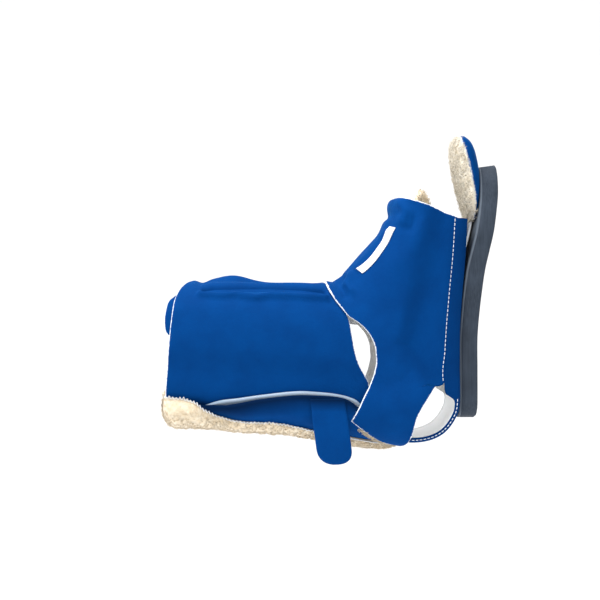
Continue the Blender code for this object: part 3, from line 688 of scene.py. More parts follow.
# %% Where a wrap meets the sleeve
def sole_frame(place):
    """The sole line's points, the direction out of the room there, and the half widths."""
    row = read_rows(SECTIONS, place)
    run = (read_rows(SECTIONS, np.minimum(place + row_step, last_row))
           - read_rows(SECTIONS, np.maximum(place - row_step, 0)))[..., :2]
    run /= np.linalg.norm(run, axis=-1, keepdims=True)
    still = np.zeros(run.shape[:-1])
    foot = np.stack((row[..., 0], still, row[..., 1]), axis=-1)
    return foot, np.stack((run[..., 1], still, -run[..., 0]), axis=-1), row[..., 4]


def lip_reach(place):
    """How deep the sleeve's side is, from its back to the seam."""
    return heel_lip + (sole_lip - heel_lip) * read_rows(LIP_REACH, place)[..., 0]


def seam_turn(place):
    """The turn at which a wrap meets the sleeve's side."""
    place = np.asarray(place, dtype=float)
    foot, out, _ = sole_frame(place)
    reach = lip_reach(place) - sleeve_outer + seam_gap
    low, high = np.full(place.shape, 12.0), np.full(place.shape, 85.0)
    for _ in range(24):
        middle = (low + high) / 2
        inside = np.sum((foot - room_point(place, middle)) * out, axis=-1) < reach
        low, high = np.where(inside, middle, low), np.where(inside, high, middle)
    return high


# %% Make a panel
border = np.array((0.0, 0.35, 0.8, 1.4, 2.2)) * mm


def spaced(length, cell):
    """Distances across a panel: dense near both edges, even between."""
    inner = max(int((length - 2 * border[-1]) / cell), 2)
    middle = np.linspace(border[-1], length - border[-1], inner + 1)
    return np.concatenate((border[:-1], middle, length - border[-2::-1]))


def panel(table, far=False, cell=2.2 * mm):
    """Place and turn of every mesh point of a panel, and its distances to the four edges."""
    rows = []
    for place, turn, end_place, end_turn in table:
        sewn = end_turn is None
        if sewn:
            end_turn = float(seam_turn(end_place))
            end_turn = 360 - end_turn if far else end_turn
        rows.append((place, turn, end_place, end_turn, sewn))
    rows = np.array(rows, dtype=float)
    middles = room_point((rows[:, 0] + rows[:, 2]) / 2, (rows[:, 1] + rows[:, 3]) / 2)
    walked = np.concatenate(((0,), np.cumsum(np.linalg.norm(np.diff(middles, axis=0), axis=-1))))
    down = spaced(walked[-1], cell)
    ends = read_rows(np.column_stack((walked, rows[:, :4])), down)
    sewn = np.zeros(len(down), dtype=bool)
    if rows[:, 4].any():
        seam_rows = walked[rows[:, 4] > 0]
        sewn = (down >= seam_rows[0]) & (down <= seam_rows[-1])
        exact = seam_turn(ends[:, 2])
        ends[:, 3] = np.where(sewn, 360 - exact if far else exact, ends[:, 3])
    share = np.linspace(0, 1, 81)
    trial = room_point(ends[:, 0:1] + (ends[:, 2:3] - ends[:, 0:1]) * share,
                       ends[:, 1:2] + (ends[:, 3:4] - ends[:, 1:2]) * share)
    steps = np.linalg.norm(np.diff(trial, axis=1), axis=-1)
    run = np.concatenate((np.zeros((len(down), 1)), np.cumsum(steps, axis=1)), axis=1)
    lengths = run[:, -1]
    count = len(spaced(lengths.max(), cell))
    edge = len(border) - 1
    across, t = np.empty((len(down), count)), np.empty((len(down), count))
    for i, length in enumerate(lengths):
        even = np.linspace(border[-1], length - border[-1], count - 2 * edge)
        across[i] = np.concatenate((border[:-1], even, length - border[-2::-1]))
        t[i] = np.interp(across[i], run[i], share)
    place = ends[:, 0:1] + (ends[:, 2:3] - ends[:, 0:1]) * t
    turn = ends[:, 1:2] + (ends[:, 3:4] - ends[:, 1:2]) * t
    to_end = lengths[:, None] - across + np.where(sewn, 1.0, 0.0)[:, None]
    edges = np.stack((across, to_end, np.repeat(down[:, None], count, 1),
                      np.repeat((down[-1] - down)[:, None], count, 1)))
    return place, turn, edges


def raised_by(base, normal, lift, folds):
    """How far a wrap's inner face is from the room's wall. Folds are placed on its outer face."""
    seen = base + normal * (lift + wrap_thickness)[..., None]
    return lift + fold_lift(seen, folds) + grain_at(base, 45 * mm) * 0.35 * mm


def sewn_panel(name, node, table, lift, folds=(), far=False):
    """Make a wrap from its table, thinned and rounded along its cut edges."""
    place, turn, edges = panel(table, far)
    base, normal = room_point(place, turn), wall_normal(place, turn)
    nearest = edges.min(axis=0)
    soft = np.exp(-nearest / (0.55 * mm))
    raised = raised_by(base, normal, lift(place, turn), folds)
    outer = base + normal * (raised + wrap_thickness * (1 - 0.50 * soft))[..., None]
    inner = base + normal * (raised + wrap_thickness * 0.25 * soft)[..., None]
    piece = closed_sheet(name, outer, inner, nearest / mm, [laminate, lining])
    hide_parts(node)
    return piece


# %% Lift of each wrap
overlap_turns = (70.0, 105.0)


def strap_share(place):
    """1 along the ankle strap, 0 over the foot."""
    return 1 - ramp(place, 10.5, 12.5)


def strap_bulge(place, turn):
    """Room for the band's corners under the ankle strap."""
    return strap_room * (1 - ramp(turn, 38.0, 62.0)) * (1 - ramp(place, 10.3, 12.0))


def calf_near_lift(place, turn):
    return second_layer * ramp(turn, 62.0, 92.0) + calf_swell(place, turn)


def foot_near_lift(place, turn):
    layers = third_layer * np.maximum(strap_share(place), ramp(turn, *overlap_turns))
    return layers + strap_bulge(place, turn) + toe_crease(place, turn)


def foot_far_lift(place, turn):
    far_turn = 360.0 - turn
    lower = second_layer * np.maximum(strap_share(place), ramp(far_turn, *overlap_turns))
    upper = (third_layer - second_layer) * strap_share(place) * (1 - ramp(far_turn, 105.0, 130.0))
    return lower + upper + strap_bulge(place, far_turn) + toe_crease(place, turn)


# %% Make the wraps
sewn_panel("far_calf_wrap", "calf_wrap_far", CALF_FAR, calf_swell)
sewn_panel("near_calf_wrap", "calf_wrap_near", CALF_NEAR, calf_near_lift, CALF_FOLDS)
foot_far = sewn_panel("far_foot_wrap", "foot_wrap_far", FOOT_FAR, foot_far_lift, far=True)
foot_near = sewn_panel("near_foot_wrap", "foot_wrap_near", FOOT_NEAR, foot_near_lift, INSTEP_FOLDS)

# %% [markdown]
# ## Patch on the instep
# A narrow woven tape, sewn flat on the near flap. It is left bare. It follows every fold of the
# cloth under it, because it is lifted by the same function.

# %% Patch
LABEL = ((12.22, 164.2, 15.95, 133.6), (12.32, 158.7, 16.00, 123.9))
label_thickness, label_air = 0.7 * mm, 0.25 * mm
place, turn, _ = panel(LABEL, cell=1.5 * mm)
base, normal = room_point(place, turn), wall_normal(place, turn)
under = raised_by(base, normal, foot_near_lift(place, turn), INSTEP_FOLDS) + wrap_thickness + label_air
label_outer = base + normal * (under + label_thickness)[..., None]
label_inner = base + normal * under[..., None]
label = closed_sheet("instep_patch", label_outer, label_inner, np.full(place.shape, far_from_cut),
                     [patch_tape])
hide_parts("label_patch")

# %% [markdown]
# ## Sleeve round the heel band and the sole
# A channel of laminate that hides the splint's edges. Seen from the side it is a narrow rim round
# the heel and a deep wall beside the sole. It is drawn as one cross-section, a lip, a side, a
# rounded corner and a back, which is carried along the sole line. A cross-section is easier to get
# right than a bent sheet, because both its corners stay the same all the way.

# %% Sleeve
sleeve_begin = 8.70
side_shares = np.concatenate((np.array((0, 0.03, 0.07, 0.13)), np.linspace(0.2, 1, 7)))
corner_steps, back_steps = 7, 15
strap_waist, sole_waist = 3.0 * mm, 2.6 * mm


def sleeve_half_width(place):
    """Half the channel's inner width, a little less where the ankle straps cross it."""
    return sole_frame(place)[2] - strap_waist * (1 - ramp(place, 8.9, 9.7))


def sleeve_section(place, grow, lip_soft):
    """Half a cross-section at each place, from the lip to the middle of the back."""
    foot, out, _ = sole_frame(place)
    half_width = sleeve_half_width(place)
    lip = sleeve_outer - lip_reach(place)
    reach = sleeve_start - sleeve_corner
    side = lip[:, None] + (reach - lip)[:, None] * side_shares
    angle = np.radians(np.linspace(12, 90, corner_steps))
    corner = np.broadcast_to(reach + (sleeve_corner + grow) * np.sin(angle), (len(place), corner_steps))
    back = np.full((len(place), back_steps), sleeve_start + grow)
    depth = np.concatenate((side, corner, back), axis=1)
    wide = half_width[:, None] - sleeve_corner
    flat = np.linspace(1, 0, back_steps + 1)[1:]
    width = np.concatenate((np.broadcast_to(wide + sleeve_corner + grow, side.shape),
                            wide + (sleeve_corner + grow) * np.cos(angle), wide * flat), axis=1)
    width[:, :4] += lip_soft * np.array((1.0, 0.55, 0.25, 0.08))
    lean = np.clip((depth - lip[:, None]) / (sleeve_start - lip[:, None]), 0, 1) ** 2
    width -= sole_waist * lean * ramp(place, 12.3, 12.8)[:, None] * (width > 0.8 * wide)
    return foot, out, depth, width


def mirrored(points):
    return np.asarray(points) * np.array((1.0, -1.0, 1.0))


def both_sides(foot, out, depth, width):
    """A whole cross-section at each place: its near half, and the same mirrored."""
    near = foot[:, None] + out[:, None] * depth[..., None] - np.array((0, 1.0, 0)) * width[..., None]
    return np.concatenate((near, mirrored(near)[:, -2::-1]), axis=1)


sleeve_places = np.concatenate((np.array((0, 0.02, 0.05, 0.1)) + sleeve_begin,
                                np.linspace(8.9, 17.2, 125), np.array((17.28, 17.33, 17.36))))
sleeve_outer_grid = both_sides(*sleeve_section(sleeve_places, sleeve_thickness, -0.9 * mm))
sleeve_inner_grid = both_sides(*sleeve_section(sleeve_places, 0.0, 0.5 * mm))
sleeve_cut = np.full(sleeve_outer_grid.shape[:2], far_from_cut)
sleeve = closed_sheet("heel_and_sole_sleeve", sleeve_outer_grid, sleeve_inner_grid, sleeve_cut,
                      [sleeve_laminate, lining])
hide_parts("sole_sleeve")

# %% [markdown]
# ## Splint
# One sheet of plastic, drawn down over a last: a trough under the calf, then a flat band round the
# heel, then a plate. The trough's rim is rolled, which shows as a pale line under the cuff. It is
# made by letting the thickness swell to a round bead near the edge.

# %% Splint
SHELL_RIM = ((1.10, 8.0), (1.45, 18.0), (2.00, 32.0), (2.62, 42.0), (3.20, 45.5), (3.73, 48.0),
             (4.69, 51.5), (5.30, 51.3), (5.79, 50.3), (6.38, 48.0), (6.80, 45.5), (7.30, 41.0),
             (8.00, 34.0))
trough_start, trough_end, band_start, plate_end = 1.1, 6.6, 8.3, 16.9
rim_bead, bead_end, thin_edge = 2.2 * mm, 7.4, 0.25 * mm
plate_waist = 2.8 * mm
splint_rows, splint_columns = 190, 49
rim_crowding = 1.7


def crowded(count, power):
    """Shares from -1 to 1, closer together near the ends."""
    even = np.linspace(-1, 1, count)
    return np.sign(even) * (1 - (1 - np.abs(even)) ** power)


def under_grid(rim, places, count):
    """Place and turn of a layer under the calf, from its far rim to its near rim."""
    half = read_rows(rim, places)[:, 0]
    return np.repeat(places[:, None], count, 1), half[:, None] * crowded(count, rim_crowding)[None, :]


def edge_distance(grid):
    """Distance of each point of a grid of points to the nearest end of its row."""
    steps = np.linalg.norm(np.diff(grid, axis=1), axis=-1)
    walked = np.concatenate((np.zeros((len(grid), 1)), np.cumsum(steps, axis=1)), axis=1)
    return np.minimum(walked, walked[:, -1:] - walked)


def quarter_round(share, floor=0.0):
    """Rises as a quarter circle, from a share of 0 to a share of 1. The square stays above floor."""
    return np.sqrt(np.clip(1 - (1 - np.clip(share, 0, 1)) ** 2, floor, 1))


splint_places = np.linspace(trough_start, plate_end, splint_rows)
place, turn = under_grid(SHELL_RIM, splint_places, splint_columns)
middle_lift = shell_start + shell_thickness / 2
curved, curved_out = wall_point(place, turn, middle_lift), wall_normal(place, turn)
foot, out, half_width = sole_frame(splint_places)
narrow = band_waist * (1 - ramp(splint_places, 8.4, 9.6)) + plate_waist * ramp(splint_places, 12.3, 12.8)
share = crowded(splint_columns, rim_crowding)
level_width = (half_width - sleeve_corner - seat_gap - narrow)[:, None] * share[None, :]
level = foot[:, None] + out[:, None] * middle_lift - np.array((0, 1.0, 0)) * level_width[..., None]
flatness = ramp(splint_places, trough_end, band_start)[:, None, None]
splint_middle = curved * (1 - flatness) + level * flatness
splint_out = curved_out * (1 - flatness) + out[:, None] * flatness
to_rim = edge_distance(splint_middle)
has_bead = splint_places[:, None] < bead_end
bead = rim_bead + (shell_thickness / 2 - rim_bead) * ramp(to_rim, rim_bead, 3.2 * rim_bead)
bead = np.where(has_bead, bead, shell_thickness / 2)
half_thick = np.maximum(bead * quarter_round(to_rim / rim_bead), thin_edge)
# Each point's distance to the trough's rim is stored for the painted shade at the rim.
splint = closed_sheet("plastic_splint", splint_middle + splint_out * half_thick[..., None],
                      splint_middle - splint_out * half_thick[..., None],
                      np.where(has_bead, to_rim / mm, far_from_cut), [plastic])
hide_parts("splint_shell")
print("splint triangles:", 2 * len(splint.data.polygons))

# %% [markdown]
# ## Pad under the calf
# A cushion strapped on under the trough: blue cloth on its sides, fleece below and round its calf
# end. Where the two meet, an overlock seam shows as white teeth.

# %% Pad tables
COVER_RIM = ((0.75, 37.0), (1.50, 38.0), (2.10, 39.5), (2.62, 41.0), (3.20, 43.5), (3.73, 46.0),
             (4.69, 48.9), (5.30, 49.0), (5.80, 48.4), (6.30, 46.0), (7.00, 38.0), (7.90, 22.0),
             (8.30, 13.0))
FLEECE_RIM = ((0.72, 41.0), (2.00, 40.8), (2.35, 37.6), (2.70, 34.5), (3.20, 32.5), (4.20, 33.0),
              (5.20, 29.5), (6.20, 26.5), (7.00, 23.0), (7.90, 17.0), (8.35, 12.0))
FLEECE_BODY = ((0.72, 0.85), (0.95, 1.50), (1.40, 1.32), (2.00, 0.92), (3.00, 0.60), (4.20, 0.20),
               (5.20, 0.34), (6.20, 0.55), (7.00, 0.66), (7.90, 0.62), (8.35, 0.50))
PAD_SAG = ((0.70, 0.0), (2.60, 0.1), (3.40, 0.85), (4.20, 1.05), (5.20, 1.10), (6.20, 1.00),
           (7.20, 0.50), (8.35, 0.10))
pad_fleece_thickness, pad_sag = 8.4 * mm, 3.6 * mm
fleece_first, fleece_last = 0.86, 8.35
lump_size = 6 * mm


def sag_at(place, turn):
    """How far the pad hangs off the trough, most along its middle."""
    return pad_sag * read_rows(PAD_SAG, place)[..., 0] * np.cos(np.radians(turn)) ** 3


# %% Pad cover
def layer_under_calf(name, node, rim, first, last, rows, count, low_lift, high_lift, material,
                     softness, lumps=0.0, end_softness=None):
    """A layer under the calf between two lifts, rounded off at its rim and at both ends."""
    place, turn = under_grid(rim, np.linspace(first, last, rows), count)
    middle = room_point(place, turn)
    sides = edge_distance(middle)
    ends = edge_distance(middle.transpose(1, 0, 2)).T
    nearest = np.minimum(sides, ends * softness / (end_softness or softness))
    low, high = low_lift(place, turn), high_lift(place, turn)
    roundness = quarter_round(nearest / softness, 0.04)
    high = low + (high - low) * roundness
    normal = wall_normal(place, turn)
    high = high + grain_at(middle, lump_size) * lumps * roundness
    outer, inner = middle + normal * high[..., None], middle + normal * low[..., None]
    piece = closed_sheet(name, outer, inner, sides / mm, [material])
    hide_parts(node)
    print(name, "triangles:", 2 * len(piece.data.polygons))
    return piece, outer, inner


def cover_bulge(place, turn):
    """The cloth side is tucked in at the trough's rim and stands out just above the fleece."""
    edge = np.abs(turn) - read_rows(FLEECE_RIM, place)[..., 0]
    free = ramp(place, 2.4, 3.0) * (1 - ramp(place, 5.6, 6.6))
    return free * (2.6 * mm * hump(edge, 7.0, 4.5) - 1.2 * mm * ramp(edge, 11.0, 16.0))


# The cover's cloth is painted dark near its rims: painted shade under the splint's rolled rim.
pad_cover, cover_outer_grid, cover_inner_grid = layer_under_calf(
    "calf_pad_cloth", "calf_pad_cover", COVER_RIM, 0.75, 8.30, 130, 61,
    lambda p, t: cover_start + sag_at(p, t) + cover_bulge(p, t),
    lambda p, t: cover_outer + sag_at(p, t) + cover_bulge(p, t),
    pad_laminate, softness=2.4 * mm)


# %% Pad fleece
def fleece_low(place, turn):
    """The fleece's inner face. It rolls up against the cuff at the rim of the calf end."""
    rim = np.abs(turn) / read_rows(FLEECE_RIM, place)[..., 0]
    roll = ramp(rim, 0.90, 0.99) * (1 - ramp(place, 1.7, 2.5))
    return cover_outer + 0.3 * mm + sag_at(place, turn) + cover_bulge(place, turn) - 7.0 * mm * roll


def fleece_high(place, turn):
    body = pad_fleece_thickness * read_rows(FLEECE_BODY, place)[..., 0]
    return cover_outer + pad_gap + sag_at(place, turn) + body


pad_fleece, pad_fleece_grid, _ = layer_under_calf(
    "calf_pad_fleece_pile", "calf_pad_fleece", FLEECE_RIM, fleece_first, fleece_last, 170, 81,
    fleece_low, fleece_high, fleece, softness=8 * mm, lumps=1.3 * mm,
    end_softness=22 * mm)

# %% [markdown]
# ## Fleece inside the boot
# A liner lies in the trough and shows at the calf mouth. Another fleece lines the far wrap and
# rolls out over its edge at the toes.

# %% Calf liner and forefoot fleece
LINER_RIM = ((0.74, 40.0), (5.20, 40.0))
liner, liner_grid, _ = layer_under_calf(
    "calf_liner_pile", "calf_liner_fleece", LINER_RIM, 0.74, 5.2, 80, 51,
    lambda p, t: np.full(p.shape, -lining_gap),
    lambda p, t: np.full(p.shape, -lining_gap - liner_thickness),
    fleece, softness=3 * mm, lumps=-0.8 * mm)

FOREFOOT_FLEECE = (
    (14.60, 290.0, 17.50, 291.0), (14.60, 283.0, 17.80, 284.0), (14.60, 266.0, 18.85, 272.5),
    (14.60, 249.0, 18.95, 260.0), (14.60, 233.0, 17.95, 250.0), (14.60, 217.0, 17.55, 219.0),
    (14.60, 199.0, 17.45, 199.0), (14.60, 184.0, 17.30, 184.0),
)
place, turn, edges = panel(FOREFOOT_FLEECE)
base, forefoot_out = room_point(place, turn), wall_normal(place, turn)
roundness = quarter_round(edges.min(axis=0) / (5 * mm), 0.04)
rolled_end = 5.0 * mm * ramp(place, 17.9, 18.5)
lumps = grain_at(base, lump_size) * 0.8 * mm
depth = lining_gap + (forefoot_thickness + rolled_end + lumps) * roundness
forefoot_grid = base - forefoot_out * depth[..., None]
forefoot = closed_sheet("forefoot_pile", forefoot_grid, base - forefoot_out * lining_gap,
                        np.full(place.shape, far_from_cut), [fleece])
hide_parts("forefoot_fleece")
print("forefoot fleece triangles:", 2 * len(forefoot.data.polygons))

# %% [markdown]
# ## Loose strap
# A padded tab with a round end that hangs beside the pad. Its laminate is folded round foam, so
# its edges are blue and round and no cut shows.

# %% Loose strap
strap_half_width, strap_length, strap_thickness = 18.2 * mm, 67.6 * mm, 3.0 * mm
strap_top_x, strap_lean = 173.0 * mm, 9.0 * mm
_, strap_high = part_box("loose_strap")
down = np.concatenate((np.linspace(0, 0.8, 34), 1 - 0.2 * (1 - np.linspace(0, 1, 18)[1:]) ** 1.6))
across = crowded(29, 1.6)
end = np.maximum(down * strap_length - (strap_length - strap_half_width), 0) / strap_half_width
half = strap_half_width * np.maximum(1 - end ** 2.7, 0.012) ** 0.42
pinch = 1 - 0.03 * np.exp(-((down - 0.16) / 0.09) ** 2)
strap_x = strap_top_x + strap_lean * (down - 0.5)[:, None] - (half * pinch)[:, None] * across[None, :]
strap_z = np.repeat((strap_high[2] - down * strap_length)[:, None], len(across), 1)
inside_y = strap_high[1] - 0.1 * mm
bow, twist = 2.0 * mm * np.sin(np.pi * down), 0.7 * mm * np.sin(2.2 * np.pi * down + 0.6)
strap_y = inside_y - (bow[:, None] + twist[:, None] * across) - strap_thickness / 2
strap_mid = np.stack((strap_x, strap_y, strap_z), axis=-1)
rim_distance = np.minimum(edge_distance(strap_mid), (strap_length * (1.0001 - down))[:, None])
rounding = quarter_round(rim_distance / (2.2 * mm), 0.05)
swell = strap_thickness / 2 * rounding * (1 + 0.35 * ramp(rim_distance, 0, 9 * mm))
strap_out = np.array((0, -1.0, 0)) * swell[..., None]
# The distance from the top end gives painted shade where the strap's top goes in under the splint's rim.
to_top = np.broadcast_to(strap_length * down[:, None] / mm, strap_x.shape)
strap = closed_sheet("round_end_strap", strap_mid + strap_out, strap_mid - strap_out, to_top,
                     [strap_laminate])
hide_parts("loose_strap")
print("strap triangles:", 2 * len(strap.data.polygons))

# %% [markdown]
# ## Outsole
# Cut from a rubber sheet: flat faces and nearly square edges, with a thin paler layer on the face
# that is glued to the boot. The table gives the inner face's bend, the thickness and the width,
# each as a share of its largest value, from the heel up to the toes.

# %% Outsole
outsole_low, outsole_length, outsole_half_width = 20.4 * mm, 264.4 * mm, 47.0 * mm
outsole_thickness, outsole_bend, outsole_round = 19.0 * mm, 20.0 * mm, 1.1 * mm
face_points = 7
OUTSOLE = (
    # height bend   thick  width
    (0.000, 0.000, 0.93, 0.42), (0.012, 0.000, 0.97, 0.60), (0.040, 0.000, 1.00, 0.73),
    (0.090, 0.000, 1.00, 0.78), (0.200, 0.000, 1.00, 0.77), (0.320, 0.000, 1.00, 0.77),
    (0.410, 0.070, 1.00, 0.82), (0.500, 0.160, 1.02, 0.90), (0.590, 0.310, 1.02, 0.97),
    (0.670, 0.560, 1.00, 1.00), (0.740, 0.790, 0.98, 1.00), (0.820, 0.960, 0.96, 0.97),
    (0.890, 1.050, 0.98, 0.89), (0.950, 1.075, 0.98, 0.76), (0.985, 1.080, 0.96, 0.60),
    (1.000, 1.080, 0.94, 0.48),
)


def outsole_inner(z):
    share = (z - (heel_z - outsole_low)) / outsole_length
    return outsole_face_x + outsole_bend * read_rows(OUTSOLE, share)[..., 0]


def outsole_ring(height):
    """Points round the sole at one height: front face, paler layer, groove, side, edge and back."""
    bend, thick, width = read_rows(OUTSOLE, height)
    front = outsole_face_x + outsole_bend * bend
    thick, half = outsole_thickness * thick, outsole_half_width * width
    r = outsole_round * min(1.0, 0.15 + min(height, 1 - height) * 60)
    end = 1 - max(0.0, 1 - min(height, 1 - height) * 90) * 0.05
    side = ((0.0, half - r), (0.3 * r, half - 0.3 * r), (r, half), (1.9 * mm, half),
            (2.1 * mm, half - 0.35 * mm), (2.4 * mm, half), (0.35 * thick, half), (0.65 * thick, half),
            (thick - r, half), (thick - 0.3 * r, half - 0.3 * r), (thick, half - r))
    near = [(front + x * end, -y) for x, y in side]
    back = [(front + thick * end, y) for y in np.linspace(-0.8, 0.8, face_points) * half]
    far = [(front + x * end, y) for x, y in reversed(side)]
    face = [(front, y) for y in np.linspace(0.8, -0.8, face_points) * half]
    return np.array([(x, y, 0.0) for x, y in near + back + far + face])


sole_heights = np.concatenate(((0, 0.002, 0.006), np.linspace(0.012, 0.985, 90), (0.992, 0.997, 1.0)))
rings = []
for height in sole_heights:
    ring = outsole_ring(height)
    slant = (0.8 * mm + 0.14 * (ring[:, 0] - ring[:, 0].min())) * ramp(height, 0.90, 1.0)
    ring[:, 2] = heel_z - outsole_low + outsole_length * height + slant
    rings.append(ring)
around = len(rings[0])
pale_side = 4
sole_faces, sole_slots = [], []
for i in range(len(rings) - 1):
    for j in range(around):
        k = (j + 1) % around
        sole_faces.append((i * around + j, i * around + k, (i + 1) * around + k, (i + 1) * around + j))
        sole_slots.append(1 if j < pale_side or j >= around - face_points - pale_side else 0)
sole_faces += [tuple(range(around))[::-1], tuple(range((len(rings) - 1) * around, len(rings) * around))]
sole_slots += [0, 0]

pale_rubber, shader = start_material("pale_rubber", 0.7)
pale_streaks = metre_noise(pale_rubber, 700.0, detail=2.0, stretch=(1.0, 1.0, 0.03))
pale_stone = blend_colors(pale_rubber, pale_streaks, (0.050, 0.068, 0.094), (0.105, 0.130, 0.165))
pale_rubber.node_tree.links.new(pale_stone, shader.inputs["Base Color"])
add_bump(pale_rubber, shader, (pale_streaks, 0.1 * mm))
outsole = place_mesh("rubber_outsole", np.concatenate(rings), sole_faces, [rubber, pale_rubber])
outsole.data.polygons.foreach_set("material_index", sole_slots)
outsole.data.set_sharp_from_angle(angle=math.radians(50))
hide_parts("outsole")
print("outsole triangles:", 2 * len(outsole.data.polygons))

# %% [markdown]
# ## Toe pad
# A small cushion that stands up behind the toes on a metal bar. Its front is fleece and its back
# is laminate, and a seam goes round between them. A cushion gets its form from being filled, so
# it is blown up here: a rough closed form is remeshed into even cells, and a cloth simulation with
# inner pressure and no gravity rounds it. How far a point may move is limited, so that the cushion
# keeps its size. Where the bar passes, its back is pushed in.

# %% Blow up a closed form
def blow_up(name, points, faces, voxel, pressure, limit):
    """Remesh a closed form, swell it with a cloth simulation and subdivide it once."""
    mesh = bpy.data.meshes.new(name)
    mesh.from_pydata(points.tolist(), [], faces)
    body = bpy.data.objects.new(name, mesh)
    bpy.context.scene.collection.objects.link(body)
    remesh = body.modifiers.new("even_cells", "REMESH")
    remesh.mode = "VOXEL"
    remesh.voxel_size = voxel
    graph = bpy.context.evaluated_depsgraph_get()
    even = bpy.data.meshes.new_from_object(body.evaluated_get(graph))
    body.modifiers.clear()
    body.data = even
    start = np.array([v.co for v in even.vertices])
    cloth = body.modifiers.new("cloth", "CLOTH")
    cloth.settings.use_pressure = True
    cloth.settings.uniform_pressure_force = pressure
    cloth.settings.effector_weights.gravity = 0.0
    for step in range(1, 21):
        bpy.context.scene.frame_set(step)
    graph = bpy.context.evaluated_depsgraph_get()
    swollen = body.evaluated_get(graph).data
    move = np.array([v.co for v in swollen.vertices]) - start
    far = np.linalg.norm(move, axis=1, keepdims=True)
    start = start + move * np.minimum(1.0, limit / np.maximum(far, 1e-9))
    print(name, "moved by up to", round(float(far.max()) / mm, 1), "mm, kept to", limit / mm)
    body.modifiers.clear()
    bpy.context.scene.frame_set(1)
    body.data.vertices.foreach_set("co", start.ravel())
    smooth = body.modifiers.new("finer", "SUBSURF")
    smooth.levels = 1
    graph = bpy.context.evaluated_depsgraph_get()
    final = bpy.data.meshes.new_from_object(body.evaluated_get(graph))
    corners = np.array([v.co for v in final.vertices])
    outward = np.array([v.normal for v in final.vertices])
    polygons = [tuple(face.vertices) for face in final.polygons]
    bpy.data.objects.remove(body, do_unlink=True)
    return corners, outward, polygons


# %% Make the toe pad
toe_pad_low, toe_pad_height, toe_pad_half_width = 186.0 * mm, 93.0 * mm, 47.5 * mm
toe_bar_room, toe_bar_half_width = 4.9 * mm, 12.5 * mm
toe_bar_top = (0.186, 0.196)
ring_points = 40
TOE_PAD = (
    # height front seam  back  width, depths in mm before the outsole's face
    (0.000, 3.0, 1.9, 0.9, 0.62), (0.050, 3.8, 2.3, 0.9, 0.74), (0.148, 5.8, 3.0, 0.9, 0.88),
    (0.288, 10.0, 5.0, 0.9, 0.97), (0.428, 14.2, 8.2, 1.0, 0.99), (0.632, 18.4, 12.6, 2.2, 0.98),
    (0.826, 22.2, 17.0, 4.8, 0.93), (0.933, 23.8, 19.8, 8.6, 0.80), (1.000, 22.8, 21.4, 15.0, 0.60),
)
pad_bottom = heel_z + toe_pad_low


def seam_depth(z):
    return read_rows(TOE_PAD, (z - pad_bottom) / toe_pad_height)[..., 1] * mm


def toe_ring(z, front, seam, back, half):
    """A closed ring at one height, pillow shaped: flat in the middle, thin at its sides."""
    angle = np.linspace(0, 2 * np.pi, ring_points, endpoint=False)
    forward = np.where(np.cos(angle) > 0, front - seam, seam - back) * np.abs(np.cos(angle)) ** 0.75
    depth = seam + np.sign(np.cos(angle)) * forward
    y = half * np.sign(np.sin(angle)) * np.abs(np.sin(angle)) ** 0.55
    return np.column_stack((outsole_inner(z) - depth, y, np.full(ring_points, z)))


toe_rings = []
for share in np.concatenate((np.linspace(0, 0.9, 19), (0.94, 0.97, 0.99, 1.0))):
    front, seam, back, width = read_rows(TOE_PAD, share)
    z = pad_bottom + toe_pad_height * share
    toe_rings.append(toe_ring(z, front * mm, seam * mm, back * mm, toe_pad_half_width * width))
toe_faces = []
for low in range(0, (len(toe_rings) - 1) * ring_points, ring_points):
    for j in range(ring_points):
        k = (j + 1) % ring_points
        toe_faces.append((low + j, low + k, low + ring_points + k, low + ring_points + j))
top = (len(toe_rings) - 1) * ring_points
toe_faces += [tuple(range(ring_points))[::-1], tuple(range(top, top + ring_points))]
corners, outward, polygons = blow_up("toe_cushion", np.concatenate(toe_rings), toe_faces,
                                     voxel=3.6 * mm, pressure=4.0, limit=2.4 * mm)

behind = outsole_inner(corners[:, 2]) - corners[:, 0]
bar_gap = toe_bar_room * ramp(toe_bar_half_width + 8 * mm - np.abs(corners[:, 1]), 0.0, 6 * mm)
bar_gap = np.maximum(bar_gap * (1 - ramp(corners[:, 2], *toe_bar_top)), 0.7 * mm)
corners[:, 0] -= np.maximum(bar_gap - behind, 0.0)
forward = ramp(behind - seam_depth(corners[:, 2]), 0.0, 4 * mm)
lumps = grain_at(corners, lump_size, 3.0) * 0.9 * mm + grain_at(corners, 2.6 * mm, 8.0) * 0.5 * mm
corners = corners + outward * (lumps * forward)[:, None]
toe_pad = place_mesh("toe_cushion", corners, polygons, [toe_fleece_pale_and_painted_light, laminate])
middles = np.array([face.center for face in toe_pad.data.polygons])
is_back = outsole_inner(middles[:, 2]) - middles[:, 0] < seam_depth(middles[:, 2])
toe_pad.data.polygons.foreach_set("material_index", is_back.astype(int))
mark_cut(toe_pad, np.full(len(corners), far_from_cut))
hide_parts("toe_pad_fleece", "toe_pad_cover")
print("toe pad triangles:", 2 * len(polygons))

# %% [markdown]
# ## Stitches and overlock
# Stitches are real thread here: short tubes that dip into the cloth at both ends. The sole seam
# and the heel's rim have running stitches. The seam round the pads is an overlock, one thread that
# goes to and fro over the edge.

# %% Thread helpers
thread_radius = 0.36 * mm


def between(at, places, rows):
    """Rows of xyz that belong to places, read at other places."""
    return np.column_stack([np.interp(at, places, rows[:, k]) for k in range(3)])


def resample(path, step):
    """A path's points at even steps, and each one's distance from the path's start."""
    walked = np.concatenate(((0,), np.cumsum(np.linalg.norm(np.diff(path, axis=0), axis=-1))))
    count = max(int(walked[-1] / step), 2)
    at = np.linspace(0, walked[-1], count + 1)
    return between(at, walked, path), at


